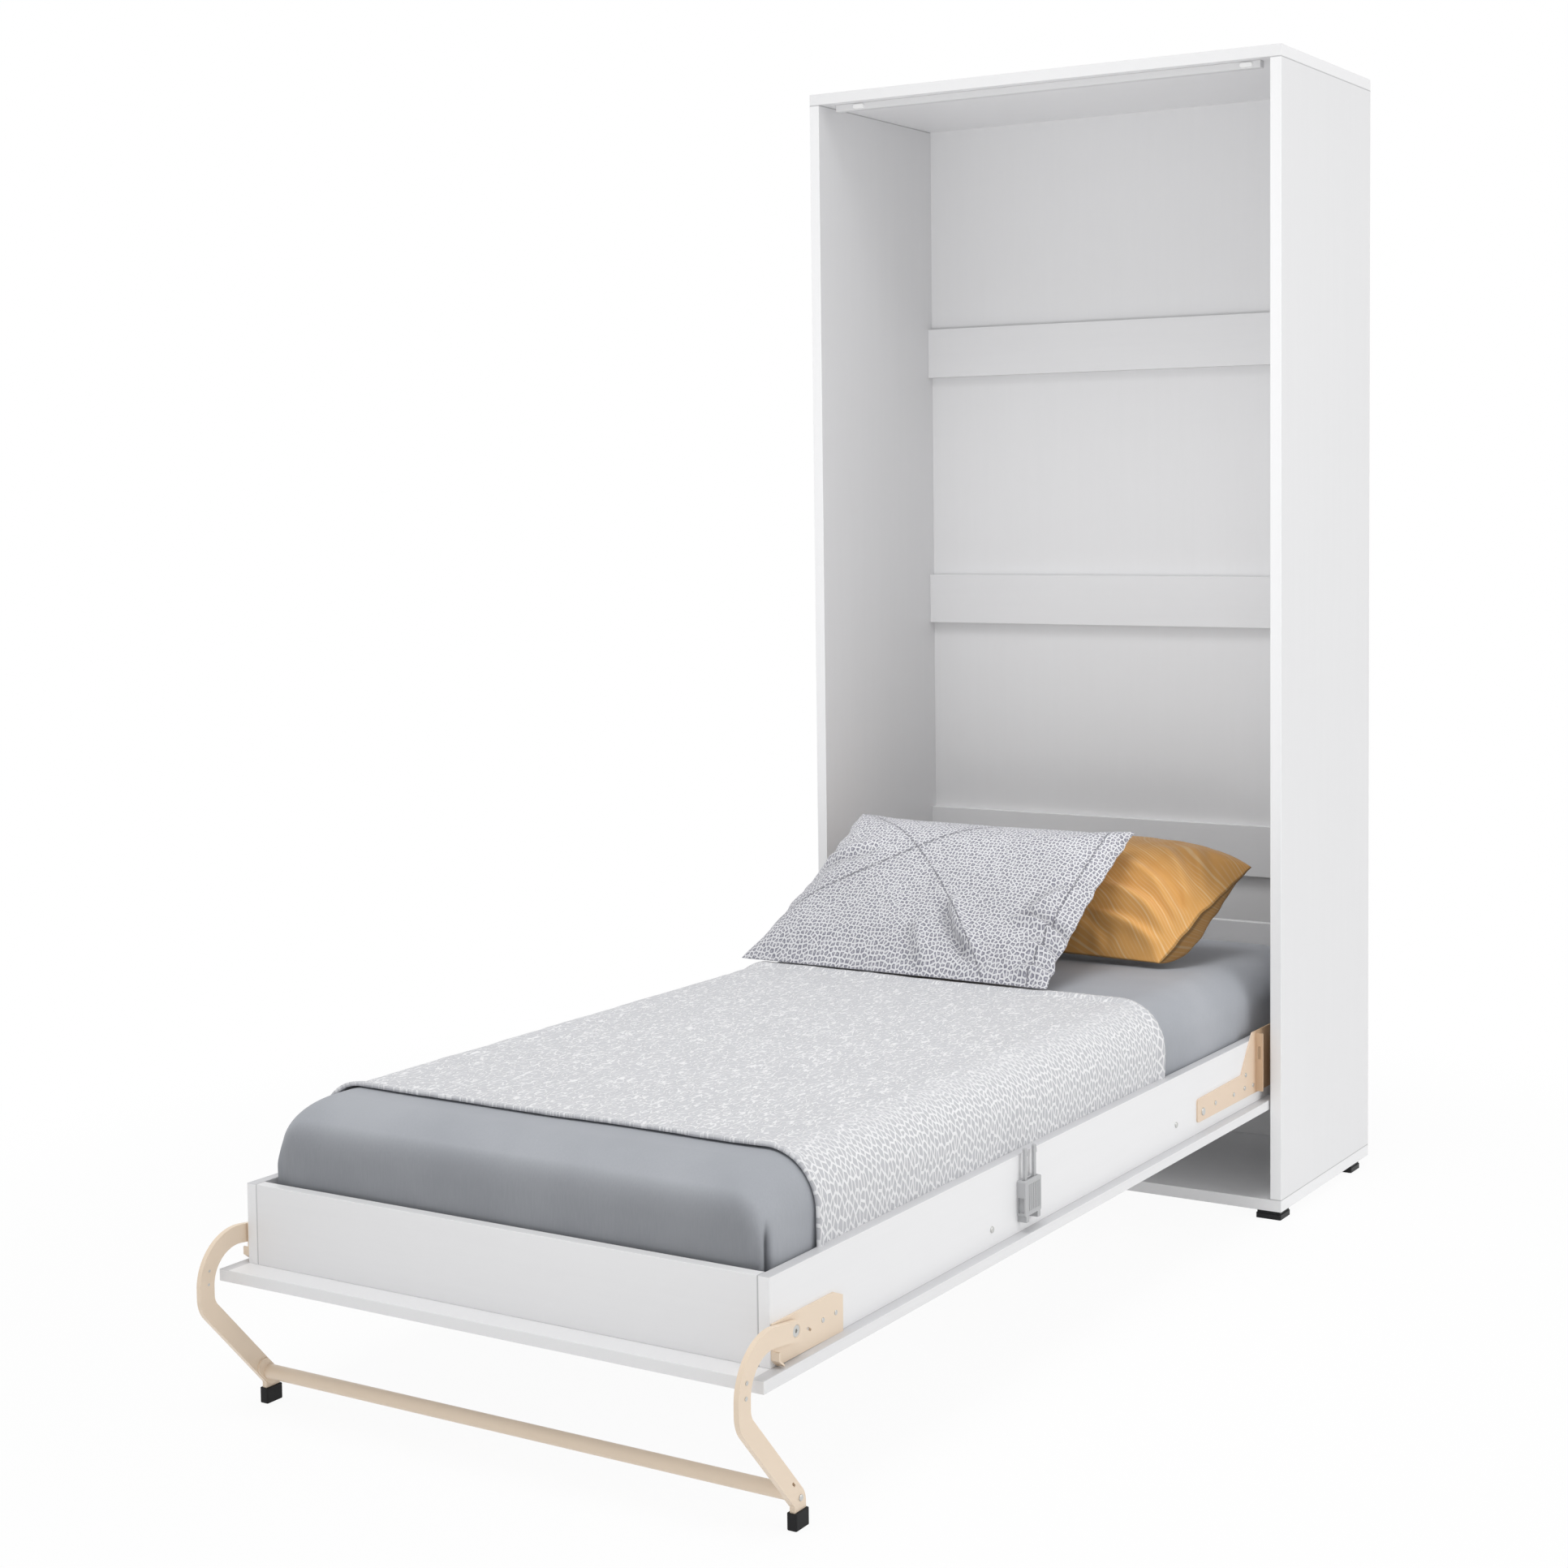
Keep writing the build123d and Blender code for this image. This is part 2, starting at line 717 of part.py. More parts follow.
with BuildPart() as leg_cap:
    with BuildSketch(Plane(origin=((leg_inner + leg_outer) / 2, front + leg_end[0], 0))):
        RectangleRounded(leg_thickness + 2 * cap_side, leg_width + 2 * cap_wall, 3)
    extrude(amount=cap_height)
    fillet(leg_cap.faces().sort_by(Axis.Z)[-1].edges(), radius=1)
    fillet(leg_cap.faces().sort_by(Axis.Z)[0].edges(), radius=1.5)
    add(leg.part, mode=Mode.SUBTRACT)
save_pair(leg_cap, "leg_cap")

# Strap buckle: a ribbed holder on the side rail and a two-pronged tongue that stands in it
buckle_foot = pivot_depth - buckle_from_pivot - buckle_length / 2
buckle_middle = buckle_foot + buckle_length / 2
buckle_bottom = door_top + buckle_lift
buckle_top = buckle_bottom + buckle_height
buckle_outer = box_half + buckle_thickness
slot_inner = box_half + 6
slot_outer = slot_inner + tongue_thickness + 2 * tongue_gap
slot_bottom = buckle_bottom + 12
with BuildPart() as strap_buckle_body:
    with BuildSketch(side_plane(box_half)):
        with Locations((buckle_middle, (buckle_bottom + buckle_top) / 2)):
            RectangleRounded(buckle_length, buckle_height, 3)
        with Locations(
            (buckle_middle - buckle_length / 2 + 8, buckle_bottom - 4),
            (buckle_middle + buckle_length / 2 - 8, buckle_bottom - 4),
        ):
            RectangleRounded(10, 12, 2)
    extrude(amount=buckle_thickness)
    fillet(strap_buckle_body.faces().sort_by(Axis.X)[-1].edges(), radius=1)
    with BuildSketch(level_plane(buckle_top)):
        with Locations(((slot_inner + slot_outer) / 2, buckle_middle)):
            Rectangle(slot_outer - slot_inner, buckle_length - 8)
    extrude(amount=slot_bottom - buckle_top, mode=Mode.SUBTRACT)
    with BuildSketch(cross_plane(buckle_foot)):
        with Locations(((box_half + buckle_outer) / 2, buckle_bottom + 17)):
            Rectangle(buckle_thickness - 5, 24)
    extrude(amount=-3.5, mode=Mode.SUBTRACT)
    with BuildSketch(side_plane(buckle_outer)):
        with Locations((buckle_middle + 3, (buckle_bottom + buckle_top) / 2)):
            with GridLocations(5, 0, 8, 1):
                Rectangle(1.6, buckle_height - 14)
    extrude(amount=-1, mode=Mode.SUBTRACT)
save_pair(strap_buckle_body, "strap_buckle_body")

prong_top = buckle_top + prong_length
barb_bottom = prong_top - 14
with BuildPart() as strap_buckle_plug:
    with BuildSketch(side_plane(slot_inner + tongue_gap)):
        with Locations((buckle_middle, slot_bottom + 20)):
            Rectangle(buckle_length - 8 - 2 * tongue_gap, 40)
        for middle in (buckle_middle - prong_spacing / 2, buckle_middle + prong_spacing / 2):
            with Locations((middle, (slot_bottom + 30 + prong_top - 4) / 2)):
                Rectangle(prong_width - 2 * prong_barb, prong_top - slot_bottom - 34)
            with BuildLine():
                FilletPolyline(
                    (middle - prong_width / 2 + prong_barb, barb_bottom),
                    (middle - prong_width / 2 + prong_barb, prong_top),
                    (middle + prong_width / 2 - prong_barb, prong_top),
                    (middle + prong_width / 2, barb_bottom + 5),
                    (middle + prong_width / 2, barb_bottom),
                    radius=[2.5, 3, 2],
                )
                Line(
                    (middle + prong_width / 2, barb_bottom),
                    (middle - prong_width / 2 + prong_barb, barb_bottom),
                )
            make_face()
    extrude(amount=tongue_thickness)
    fillet(strap_buckle_plug.faces().sort_by(Axis.X)[-1].edges(), radius=0.6)
save_pair(strap_buckle_plug, "strap_buckle_plug")

# Gas springs: the tube hangs from a stud on the side panel, and its rod pushes the bed's head down
eye_inner = bush_face + 5
eye_outer = eye_inner + eye_width
tube_top = spring_top[1] - eye_neck - eye_radius
tube_bottom = tube_top - spring_tube_length
eye_middle = (eye_inner + eye_outer) / 2


def spring_eye(place):
    """The flat eye at a gas spring's end, round its stud."""
    with BuildPart() as eye:
        with BuildSketch(side_plane(eye_inner)):
            with Locations(place):
                Circle(eye_radius)
                Circle(stud_radius + running_gap, mode=Mode.SUBTRACT)
        extrude(amount=eye_width)
    return eye


spring_plane = Plane(origin=(eye_middle, front + spring_top[0], 0))
with BuildPart() as gas_spring_cylinder:
    add(spring_eye(spring_top).part)
    with BuildSketch(spring_plane.offset(tube_bottom)):
        Circle(spring_tube_radius)
    extrude(amount=spring_tube_length)
    fillet(gas_spring_cylinder.faces().sort_by(Axis.Z)[0].edges(), radius=1.5)
    with BuildSketch(spring_plane.offset(tube_bottom + 4)):
        Circle(spring_tube_radius - spring_tube_wall)
    extrude(amount=spring_tube_length - 8, mode=Mode.SUBTRACT)
    with BuildSketch(spring_plane.offset(tube_bottom)):
        Circle(spring_rod_radius + running_gap)
    extrude(amount=4, mode=Mode.SUBTRACT)
    with BuildSketch(spring_plane.offset(tube_top)):
        Circle(3.5)
    extrude(amount=eye_neck + eye_radius - stud_radius - 1)
save_pair(gas_spring_cylinder, "gas_spring_cylinder")

with BuildPart() as gas_spring_rod:
    add(spring_eye(spring_foot).part)
    with BuildSketch(spring_plane.offset(spring_foot[1] + stud_radius + 1)):
        Circle(3.5)
    extrude(amount=eye_neck)
    with BuildSketch(spring_plane.offset(spring_foot[1] + stud_radius + 1)):
        Circle(spring_rod_radius)
    extrude(amount=tube_top - 10 - spring_foot[1] - stud_radius - 1)
    with BuildSketch(spring_plane.offset(tube_top - 18)):
        Circle(spring_piston_radius)
    extrude(amount=8)
save_pair(gas_spring_rod, "gas_spring_rod")

with BuildPart() as gas_spring_upper_stud:
    with BuildSketch(side_plane(eye_outer + running_gap)):
        with Locations(spring_top):
            Circle(stud_flange_radius)
    extrude(amount=cabinet_inside_half - eye_outer - running_gap)
    with BuildSketch(side_plane(eye_inner - 2)):
        with Locations(spring_top):
            Circle(stud_radius)
    extrude(amount=cabinet_inside_half + stud_tail - eye_inner + 2)
    with BuildSketch(side_plane(eye_inner - 2.5)):
        with Locations(spring_top):
            Circle(stud_head_radius)
    extrude(amount=2.2)
save_pair(gas_spring_upper_stud, "gas_spring_upper_stud")

# The lower stud stays with the rod and stops just clear of the hinge bracket
with BuildPart() as gas_spring_lower_stud:
    with BuildSketch(side_plane(bush_face + 0.5)):
        with Locations(spring_foot):
            Circle(stud_flange_radius)
    extrude(amount=eye_inner - running_gap - bush_face - 0.5)
    with BuildSketch(side_plane(bush_face + 0.5)):
        with Locations(spring_foot):
            Circle(stud_radius)
    extrude(amount=eye_outer + running_gap - bush_face - 0.5)
    with BuildSketch(side_plane(eye_outer + running_gap)):
        with Locations(spring_foot):
            Circle(stud_head_radius)
    extrude(amount=1.5)
save_pair(gas_spring_lower_stud, "gas_spring_lower_stud")

# Mattress, with rounded top edges and corners
mattress_half = mattress_width / 2
with BuildPart() as mattress:
    with BuildSketch(level_plane(mattress_bottom)):
        with Locations((0, (mattress_foot + mattress_head) / 2)):
            RectangleRounded(mattress_width, mattress_length, mattress_corner)
    extrude(amount=mattress_height)
    fillet(mattress.faces().sort_by(Axis.Z)[-1].edges(), radius=mattress_edge)
    fillet(mattress.faces().sort_by(Axis.Z)[0].edges(), radius=15)
save(mattress, "mattress")

# The coverlet lies over the mattress and is tucked in beside the rails
cover_inner = mattress_half + cover_gap
cover_outer = cover_inner + cover_thickness
cover_bottom = mattress_top - cover_drop
cover_top = mattress_top + cover_gap
with BuildPart() as coverlet:
    with BuildSketch(cross_plane(mattress_foot + cover_from_foot)):
        with BuildLine():
            FilletPolyline(
                (-cover_outer, cover_bottom),
                (-cover_outer, cover_top + cover_thickness),
                (cover_outer, cover_top + cover_thickness),
                (cover_outer, cover_bottom),
                radius=mattress_edge + cover_gap + cover_thickness,
            )
            Line((cover_outer, cover_bottom), (cover_inner, cover_bottom))
            FilletPolyline(
                (cover_inner, cover_bottom),
                (cover_inner, cover_top),
                (-cover_inner, cover_top),
                (-cover_inner, cover_bottom),
                radius=mattress_edge + cover_gap,
            )
            Line((-cover_inner, cover_bottom), (-cover_outer, cover_bottom))
        make_face()
    extrude(amount=-(mattress_length - cover_from_foot - cover_from_head))
save(coverlet, "coverlet")


def pillow(name, across, depth, size, lean):
    """A pillow of size width, length and thickness that leans back, its low edge on the mattress."""
    rim = size[2] * 0.45
    rise = (size[1] / 2 - rim) * sin(radians(lean)) + (size[2] / 2 - rim) * cos(radians(lean)) + rim
    lying = Plane(
        origin=(across, front + depth, mattress_top + cover_gap + rise),
        x_dir=(1, 0, 0),
        z_dir=(0, -sin(radians(lean)), cos(radians(lean))),
    )
    with BuildPart() as piece:
        with BuildSketch(lying):
            RectangleRounded(size[0], size[1], rim)
        extrude(amount=size[2] / 2, both=True)
        fillet(piece.faces().sort_by(Axis(lying.origin, lying.z_dir))[-1].edges(), radius=rim * 0.98)
        fillet(piece.faces().sort_by(Axis(lying.origin, lying.z_dir))[0].edges(), radius=rim * 0.98)
    save(piece, name)


pillow("pillow_patterned", -122, mattress_head - 551, (680, 430, 110), 36)
pillow("pillow_ochre", 70, mattress_head - 251, (700, 290, 110), 44)
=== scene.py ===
import math

import bmesh
import bpy
import numpy as np
from mathutils import Matrix, Vector


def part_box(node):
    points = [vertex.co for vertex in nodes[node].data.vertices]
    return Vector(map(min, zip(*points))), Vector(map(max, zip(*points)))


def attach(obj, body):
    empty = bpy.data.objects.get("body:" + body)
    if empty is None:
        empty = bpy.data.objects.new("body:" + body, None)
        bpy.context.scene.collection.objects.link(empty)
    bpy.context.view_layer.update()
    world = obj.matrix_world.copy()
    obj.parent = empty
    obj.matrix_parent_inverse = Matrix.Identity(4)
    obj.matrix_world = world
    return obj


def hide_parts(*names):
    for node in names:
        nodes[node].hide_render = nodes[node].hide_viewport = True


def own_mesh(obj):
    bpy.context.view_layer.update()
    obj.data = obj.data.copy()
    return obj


# Single wall bed, shown open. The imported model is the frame; bedding, finishes and light are made here.
# Lengths are metres; depth() counts in millimetres behind the cabinet's front edges.
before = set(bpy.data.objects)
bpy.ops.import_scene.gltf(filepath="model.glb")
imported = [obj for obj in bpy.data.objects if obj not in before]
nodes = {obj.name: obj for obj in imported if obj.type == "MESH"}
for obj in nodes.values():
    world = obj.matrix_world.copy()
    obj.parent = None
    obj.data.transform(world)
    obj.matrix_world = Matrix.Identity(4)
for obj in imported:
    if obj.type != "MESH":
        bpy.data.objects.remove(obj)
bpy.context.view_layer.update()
mm = 0.001


# shader helpers
def feed(tree, socket, value):
    # the socket is linked to another node's output, or takes a plain value
    if isinstance(value, bpy.types.NodeSocket):
        tree.links.new(value, socket)
    else:
        socket.default_value = value


def put(tree, kind, sockets=None, **settings):
    # adds one node with its settings, and feeds its sockets
    made = tree.nodes.new(kind)
    for name, value in settings.items():
        setattr(made, name, value)
    for name, value in (sockets or {}).items():
        feed(tree, made.inputs[name], value)
    return made


def calc(tree, operation, first, second=0.0, third=0.0):
    # one arithmetic step: operation(first, second, third)
    return put(tree, "ShaderNodeMath", {0: first, 1: second, 2: third}, operation=operation).outputs[0]


def remap(tree, value, low, high, newLow=0.0, newHigh=1.0):
    # smooth step: newLow below low, newHigh above high
    made = put(tree, "ShaderNodeMapRange", {"Value": value, "From Min": low, "From Max": high,
                                            "To Min": newLow, "To Max": newHigh},
               interpolation_type="SMOOTHSTEP")
    return made.outputs["Result"]


def mixColour(tree, share, low, high, how="MIX"):
    # low where share is 0, high where it is 1
    made = put(tree, "ShaderNodeMix", data_type="RGBA", blend_type=how)
    for index, value in ((0, share), (6, low), (7, high)):
        feed(tree, made.inputs[index], (*value, 1) if isinstance(value, tuple) else value)
    return made.outputs[2]


def darkened(tree, colour, share, depthOf):
    # colour times 1 - depthOf x share
    left = calc(tree, "MULTIPLY_ADD", share, -depthOf, 1.0)
    grey = put(tree, "ShaderNodeCombineColor", {0: left, 1: left, 2: left}).outputs[0]
    return mixColour(tree, 1.0, colour, grey, "MULTIPLY")


def stretched(tree, vector, by):
    # vector multiplied part by part
    return put(tree, "ShaderNodeVectorMath", {0: vector, 1: by}, operation="MULTIPLY").outputs[0]


def partsOf(tree, vector):
    # the x, y and z of a vector
    return put(tree, "ShaderNodeSeparateXYZ", {0: vector}).outputs


def nearTo(tree, value, at, inner, outer):
    # 1 while value is within inner of at, 0 from outer on
    off = calc(tree, "ABSOLUTE", calc(tree, "SUBTRACT", value, at))
    return remap(tree, off, inner, outer, 1.0, 0.0)


def creaseOf(tree):
    # the crease attribute of a piece, 1 in the bottom of a fold
    return put(tree, "ShaderNodeAttribute", attribute_name="crease").outputs["Fac"]


def clothPlace(tree):
    # the point on the flat cloth, in metres
    return put(tree, "ShaderNodeUVMap", uv_map="cloth").outputs[0]


def seenStraight(tree):
    # 1 on rays of the camera, of reflections and through glass, 0 on rays that carry light
    path = put(tree, "ShaderNodeLightPath").outputs
    mirrored = calc(tree, "MAXIMUM", path["Is Glossy Ray"], path["Is Transmission Ray"])
    return calc(tree, "MAXIMUM", path["Is Camera Ray"], mirrored)


def noise(tree, vector, scale, detail=2.0, rough=0.5, distortion=0.0):
    # soft cloud from 0 to 1, scale lumps a metre
    return put(tree, "ShaderNodeTexNoise", {"Vector": vector, "Scale": scale, "Detail": detail,
                                            "Roughness": rough, "Distortion": distortion}).outputs["Fac"]


def newGroup(name, inputs, outputs):
    # an empty node group: inputs are (label, kind, first value), outputs plain numbers
    tree = bpy.data.node_groups.new(name, "ShaderNodeTree")
    for label, kind, value in inputs:
        socket = tree.interface.new_socket(name=label, in_out="INPUT", socket_type=kind)
        if value is not None:
            socket.default_value = value
    for label in outputs:
        tree.interface.new_socket(name=label, in_out="OUTPUT", socket_type="NodeSocketFloat")
    return tree, tree.nodes.new("NodeGroupInput").outputs, tree.nodes.new("NodeGroupOutput").inputs


def fillGroup(tree, group, sockets):
    # places a group with its own values
    return put(tree, "ShaderNodeGroup", sockets, node_tree=group).outputs


def newMaterial(name, **constants):
    # a material with its Principled shader; constants go straight on the shader's sockets
    made = bpy.data.materials.new(name)
    made.use_nodes = True
    tree = made.node_tree
    shader = tree.nodes["Principled BSDF"]
    for label, value in constants.items():
        shader.inputs[label.replace("_", " ")].default_value = value
    return made, tree, shader


def finishSurface(tree, shader, colour, roughness, height, distance, strength):
    # what changes over the surface: colour, roughness, and a bump of height times distance
    bump = put(tree, "ShaderNodeBump", {"Height": height, "Strength": strength, "Distance": distance})
    tree.links.new(colour, shader.inputs["Base Color"])
    tree.links.new(roughness, shader.inputs["Roughness"])
    tree.links.new(bump.outputs["Normal"], shader.inputs["Normal"])


def objectPlace(tree):
    # the point in the frame, in metres
    return put(tree, "ShaderNodeTexCoord").outputs["Object"]


# shared effects
def makeGrain():
    # long streaks of print with a fine pore; Stretch is small along the grain
    tree, given, out = newGroup("grain", [("Vector", "NodeSocketVector", None),
                                          ("Stretch", "NodeSocketVector", (1, 1, 1))],
                                ["Shade", "Height"])
    along = stretched(tree, given["Vector"], given["Stretch"])
    streak = noise(tree, along, 60, 4, 0.6)
    pore = noise(tree, along, 420, 2, 0.5)
    shade = calc(tree, "MULTIPLY_ADD", pore, 0.35, calc(tree, "MULTIPLY", streak, 0.65))
    tree.links.new(shade, out["Shade"])
    tree.links.new(calc(tree, "MULTIPLY_ADD", pore, 0.6, calc(tree, "MULTIPLY", streak, 0.4)), out["Height"])
    return tree


def makeMottle():
    # slow cloudy change over a surface, as handling and dust leave, with a fine speck
    tree, given, out = newGroup("mottle", [("Vector", "NodeSocketVector", None),
                                           ("Slow", "NodeSocketFloat", 6.0),
                                           ("Fine", "NodeSocketFloat", 900.0)], ["Slow", "Fine"])
    slow = put(tree, "ShaderNodeTexNoise", {"Vector": given["Vector"], "Scale": given["Slow"], "Detail": 3.0})
    fine = put(tree, "ShaderNodeTexNoise", {"Vector": given["Vector"], "Scale": given["Fine"], "Detail": 1.0})
    tree.links.new(slow.outputs["Fac"], out["Slow"])
    tree.links.new(fine.outputs["Fac"], out["Fine"])
    return tree


def makeCellNet():
    # raised threads round irregular cells: 1 on a thread, 0 inside a cell; Core is 1 in a cell's middle
    tree, given, out = newGroup("cell net", [("Vector", "NodeSocketVector", None),
                                             ("Cell", "NodeSocketFloat", 7.0),
                                             ("Thread", "NodeSocketFloat", 0.12),
                                             ("Loose", "NodeSocketFloat", 0.8)], ["Thread", "Core"])
    share = calc(tree, "DIVIDE", 1000.0, given["Cell"])
    sockets = {"Vector": given["Vector"], "Scale": share, "Randomness": given["Loose"]}
    edge = put(tree, "ShaderNodeTexVoronoi", sockets, feature="DISTANCE_TO_EDGE",
               voronoi_dimensions="2D").outputs["Distance"]
    middle = put(tree, "ShaderNodeTexVoronoi", sockets, feature="F1",
                 voronoi_dimensions="2D").outputs["Distance"]
    soft = calc(tree, "MULTIPLY", given["Thread"], 1.7)
    tree.links.new(remap(tree, edge, given["Thread"], soft, 1.0, 0.0), out["Thread"])
    tree.links.new(remap(tree, middle, 0.1, 0.28, 1.0, 0.0), out["Core"])
    return tree


def makeWeave():
    # plain weave: the product of two thread waves, Count threads a metre, on a flat map in metres
    tree, given, out = newGroup("weave", [("Vector", "NodeSocketVector", None),
                                          ("Count", "NodeSocketFloat", 900.0)], ["Height"])
    turn = calc(tree, "MULTIPLY", given["Count"], math.pi)
    parts = partsOf(tree, given["Vector"])
    warp, weft = (calc(tree, "SINE", calc(tree, "MULTIPLY", parts[i], turn)) for i in (0, 1))
    crossed = calc(tree, "MULTIPLY", warp, weft)
    tree.links.new(calc(tree, "MULTIPLY_ADD", crossed, 0.5, 0.5), out["Height"])
    return tree


grain, mottle, cellNet, weave = makeGrain(), makeMottle(), makeCellNet(), makeWeave()


# finishes of the carcass and fittings
boardLook = {
    # light and dark tone of the print on each kind of board; all are one white, and the tones differ as painted
    # light: the top and bottom panels and the rails lighter, the stop batten darker as painted shade
    "plain": ((0.785, 0.785, 0.793), (0.772, 0.772, 0.781)), "back": ((0.79, 0.79, 0.798), (0.78, 0.78, 0.788)),
    "flat": ((0.86, 0.86, 0.868), (0.85, 0.85, 0.858)), "stop": ((0.73, 0.73, 0.737), (0.72, 0.72, 0.727)),
    "rail": ((0.825, 0.825, 0.833), (0.815, 0.815, 0.823)),
    # banded front edges, the line between two boards, and painted shade on a narrow upper edge, where the parts
    # above shade it
    # the bands' tones are painted light: lighter than the faces on the side panels, and darker on the top and
    # bottom panels as painted shade
    "sideBand": (0.87, 0.87, 0.877), "flatBand": (0.81, 0.81, 0.817), "bandDepth": 0.0009,
    "joint": (0.44, 0.44, 0.45), "jointHalf": 0.0013, "jointSoft": 0.0028, "jointShare": 0.8, "glueShare": 0.6,
    "shadedUpperEdge": (0.60, 0.60, 0.615), "edgeDepth": 0.0008,
    "roughness": 0.42, "bump": 0.00006, "bumpStrength": 0.15,
}
grainUp, grainAcross, grainAlong = (1, 1, 0.035), (0.035, 1, 1), (1, 0.035, 1)


def boardFinish(name, stretch, shades, band=None, edge=None, joints=()):
    # the faces carry a faint printed grain; band is the y and the colour of a banded front edge, edge the
    # top and the distance to the side from which a narrow upper edge is greyer, joints the
    # (axis, place) where it meets others
    made, tree, shader = newMaterial(name, IOR=1.46)
    place = objectPlace(tree)
    parts = partsOf(tree, place)
    streaks = fillGroup(tree, grain, {"Vector": place, "Stretch": stretch})
    cloud = fillGroup(tree, mottle, {"Vector": place, "Slow": 2.5, "Fine": 1300.0})
    shade = calc(tree, "MULTIPLY_ADD", cloud["Slow"], 0.3, calc(tree, "MULTIPLY", streaks["Shade"], 0.8))
    light, dark = shades
    colour = mixColour(tree, remap(tree, shade, 0.35, 0.72), dark, light)
    if band is not None:
        inward = calc(tree, "SUBTRACT", parts[1], band[0])
        wide = boardLook["bandDepth"]
        colour = mixColour(tree, remap(tree, inward, wide, wide * 1.3, 1.0, 0.0), colour, band[1])
        glue = calc(tree, "MULTIPLY", remap(tree, inward, wide * 0.9, wide * 1.1),
                    remap(tree, inward, wide * 1.2, wide * 1.5, 1.0, 0.0))
        colour = mixColour(tree, calc(tree, "MULTIPLY", glue, boardLook["glueShare"]), colour,
                           boardLook["joint"])
    # painted shade: a narrow upper edge is made greyer, as the parts above it shade it
    if edge is not None:
        beside = calc(tree, "GREATER_THAN", calc(tree, "ABSOLUTE", parts[0]), edge[1])
        level = edge[0] - boardLook["edgeDepth"]
        upper = calc(tree, "MULTIPLY", remap(tree, parts[2], level, level + 0.0003), beside)
        colour = mixColour(tree, upper, colour, boardLook["shadedUpperEdge"])
    for axis, at in joints:
        seam = nearTo(tree, parts[axis], at, boardLook["jointHalf"], boardLook["jointSoft"])
        colour = mixColour(tree, calc(tree, "MULTIPLY", seam, boardLook["jointShare"]), colour,
                           boardLook["joint"])
    rough = calc(tree, "MULTIPLY_ADD", cloud["Slow"], 0.08, boardLook["roughness"] - 0.04)
    finishSurface(tree, shader, colour, rough, streaks["Height"], boardLook["bump"], boardLook["bumpStrength"])
    return made


def cornersOf(node, axis):
    # where a node begins and ends along one axis
    return [float(corner[axis]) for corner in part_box(node)]


carcassFront = cornersOf("side_panel_left", 1)[0]
boardUp = boardFinish("whiteBoardUpright", grainUp, boardLook["plain"], (carcassFront, boardLook["sideBand"]),
                      joints=[(2, z) for z in cornersOf("side_panel_left", 2)])
boardFlat = boardFinish("whiteBoardTop", grainAcross, boardLook["flat"], (carcassFront, boardLook["flatBand"]))
boardStop = boardFinish("whiteBoardStop", grainAcross, boardLook["stop"])
boardAcross = boardFinish("whiteBoardAcross", grainAcross, boardLook["plain"])
boardRail = boardFinish("whiteBoardRail", grainAlong, boardLook["rail"],
                        edge=(cornersOf("side_rail_left", 2)[1], 0.0))
boardFoot = boardFinish("whiteBoardFoot", grainAcross, boardLook["plain"],
                        joints=[(0, x) for x in cornersOf("foot_board", 0)])
boardDoor = boardFinish("whiteBoardDoor", grainAlong, boardLook["plain"],
                        edge=(cornersOf("door_panel", 2)[1], cornersOf("side_rail_right", 0)[1] - 0.001))
backBoard = boardFinish("whiteBack", (1, 1, 0.05), boardLook["back"])


def mouldedFinish(name, light, dark, roughness, distance=0.00008, fine=1500.0, **constants):
    # moulded or coated surface: two close shades by a slow cloud, fine dimples for the skin
    made, tree, shader = newMaterial(name, **constants)
    cloud = fillGroup(tree, mottle, {"Vector": objectPlace(tree), "Slow": 18.0, "Fine": fine})
    colour = mixColour(tree, cloud["Slow"], dark, light)
    rough = calc(tree, "MULTIPLY_ADD", cloud["Slow"], 0.14, roughness - 0.07)
    finishSurface(tree, shader, colour, rough, cloud["Fine"], distance, 0.35)
    return made


fittingLook = {
    # light and dark shade, roughness, how strongly it mirrors
    "whitePlastic": ((0.94, 0.94, 0.94), (0.91, 0.91, 0.91), 0.34, 0.5),
    "blackPlastic": ((0.016, 0.016, 0.017), (0.010, 0.010, 0.011), 0.42, 0.18),
    "blackRubber": ((0.022, 0.022, 0.023), (0.012, 0.012, 0.013), 0.62, 0.18),
    "nylonWhite": ((0.72, 0.71, 0.66), (0.64, 0.63, 0.58), 0.40, 0.5),
    "greyPlastic": ((0.47, 0.475, 0.485), (0.42, 0.425, 0.435), 0.38, 0.5),
}
fittings = {name: mouldedFinish(name, *look[:3], Specular_IOR_Level=look[3])
            for name, look in fittingLook.items()}
metalLook = {
    # light and dark shade, roughness, depth of the skin's dimples, dimples a metre, share of metal
    "zincPlated": ((0.66, 0.66, 0.64), (0.50, 0.50, 0.49), 0.34, 0.00005, 2200.0, 1.0),
    "springBlack": ((0.035, 0.035, 0.036), (0.022, 0.022, 0.023), 0.28, 0.00004, 1500.0, 0.0),
    "springChrome": ((0.72, 0.72, 0.73), (0.66, 0.66, 0.67), 0.12, 0.00001, 1500.0, 1.0),
}
metals = {name: mouldedFinish(name, *look[:5], Metallic=look[5]) for name, look in metalLook.items()}
# hinge and hingeShadeInside are the cream coat with painted shade, for the hinge brackets in the cabinet's
# shade
coatLook = {"light": (0.81, 0.67, 0.525), "dark": (0.785, 0.645, 0.50), "roughness": 0.40, "bump": 0.00012,
            "dimples": 1100.0, "hinge": (0.76, 0.60, 0.455), "hingeShadeInside": (0.55, 0.375, 0.235),
            "flange": 0.273}
coatGloss = {"Coat_Weight": 0.15, "Coat_Roughness": 0.25}
creamCoat = mouldedFinish("creamCoat", coatLook["light"], coatLook["dark"], coatLook["roughness"],
                          coatLook["bump"], coatLook["dimples"], **coatGloss)


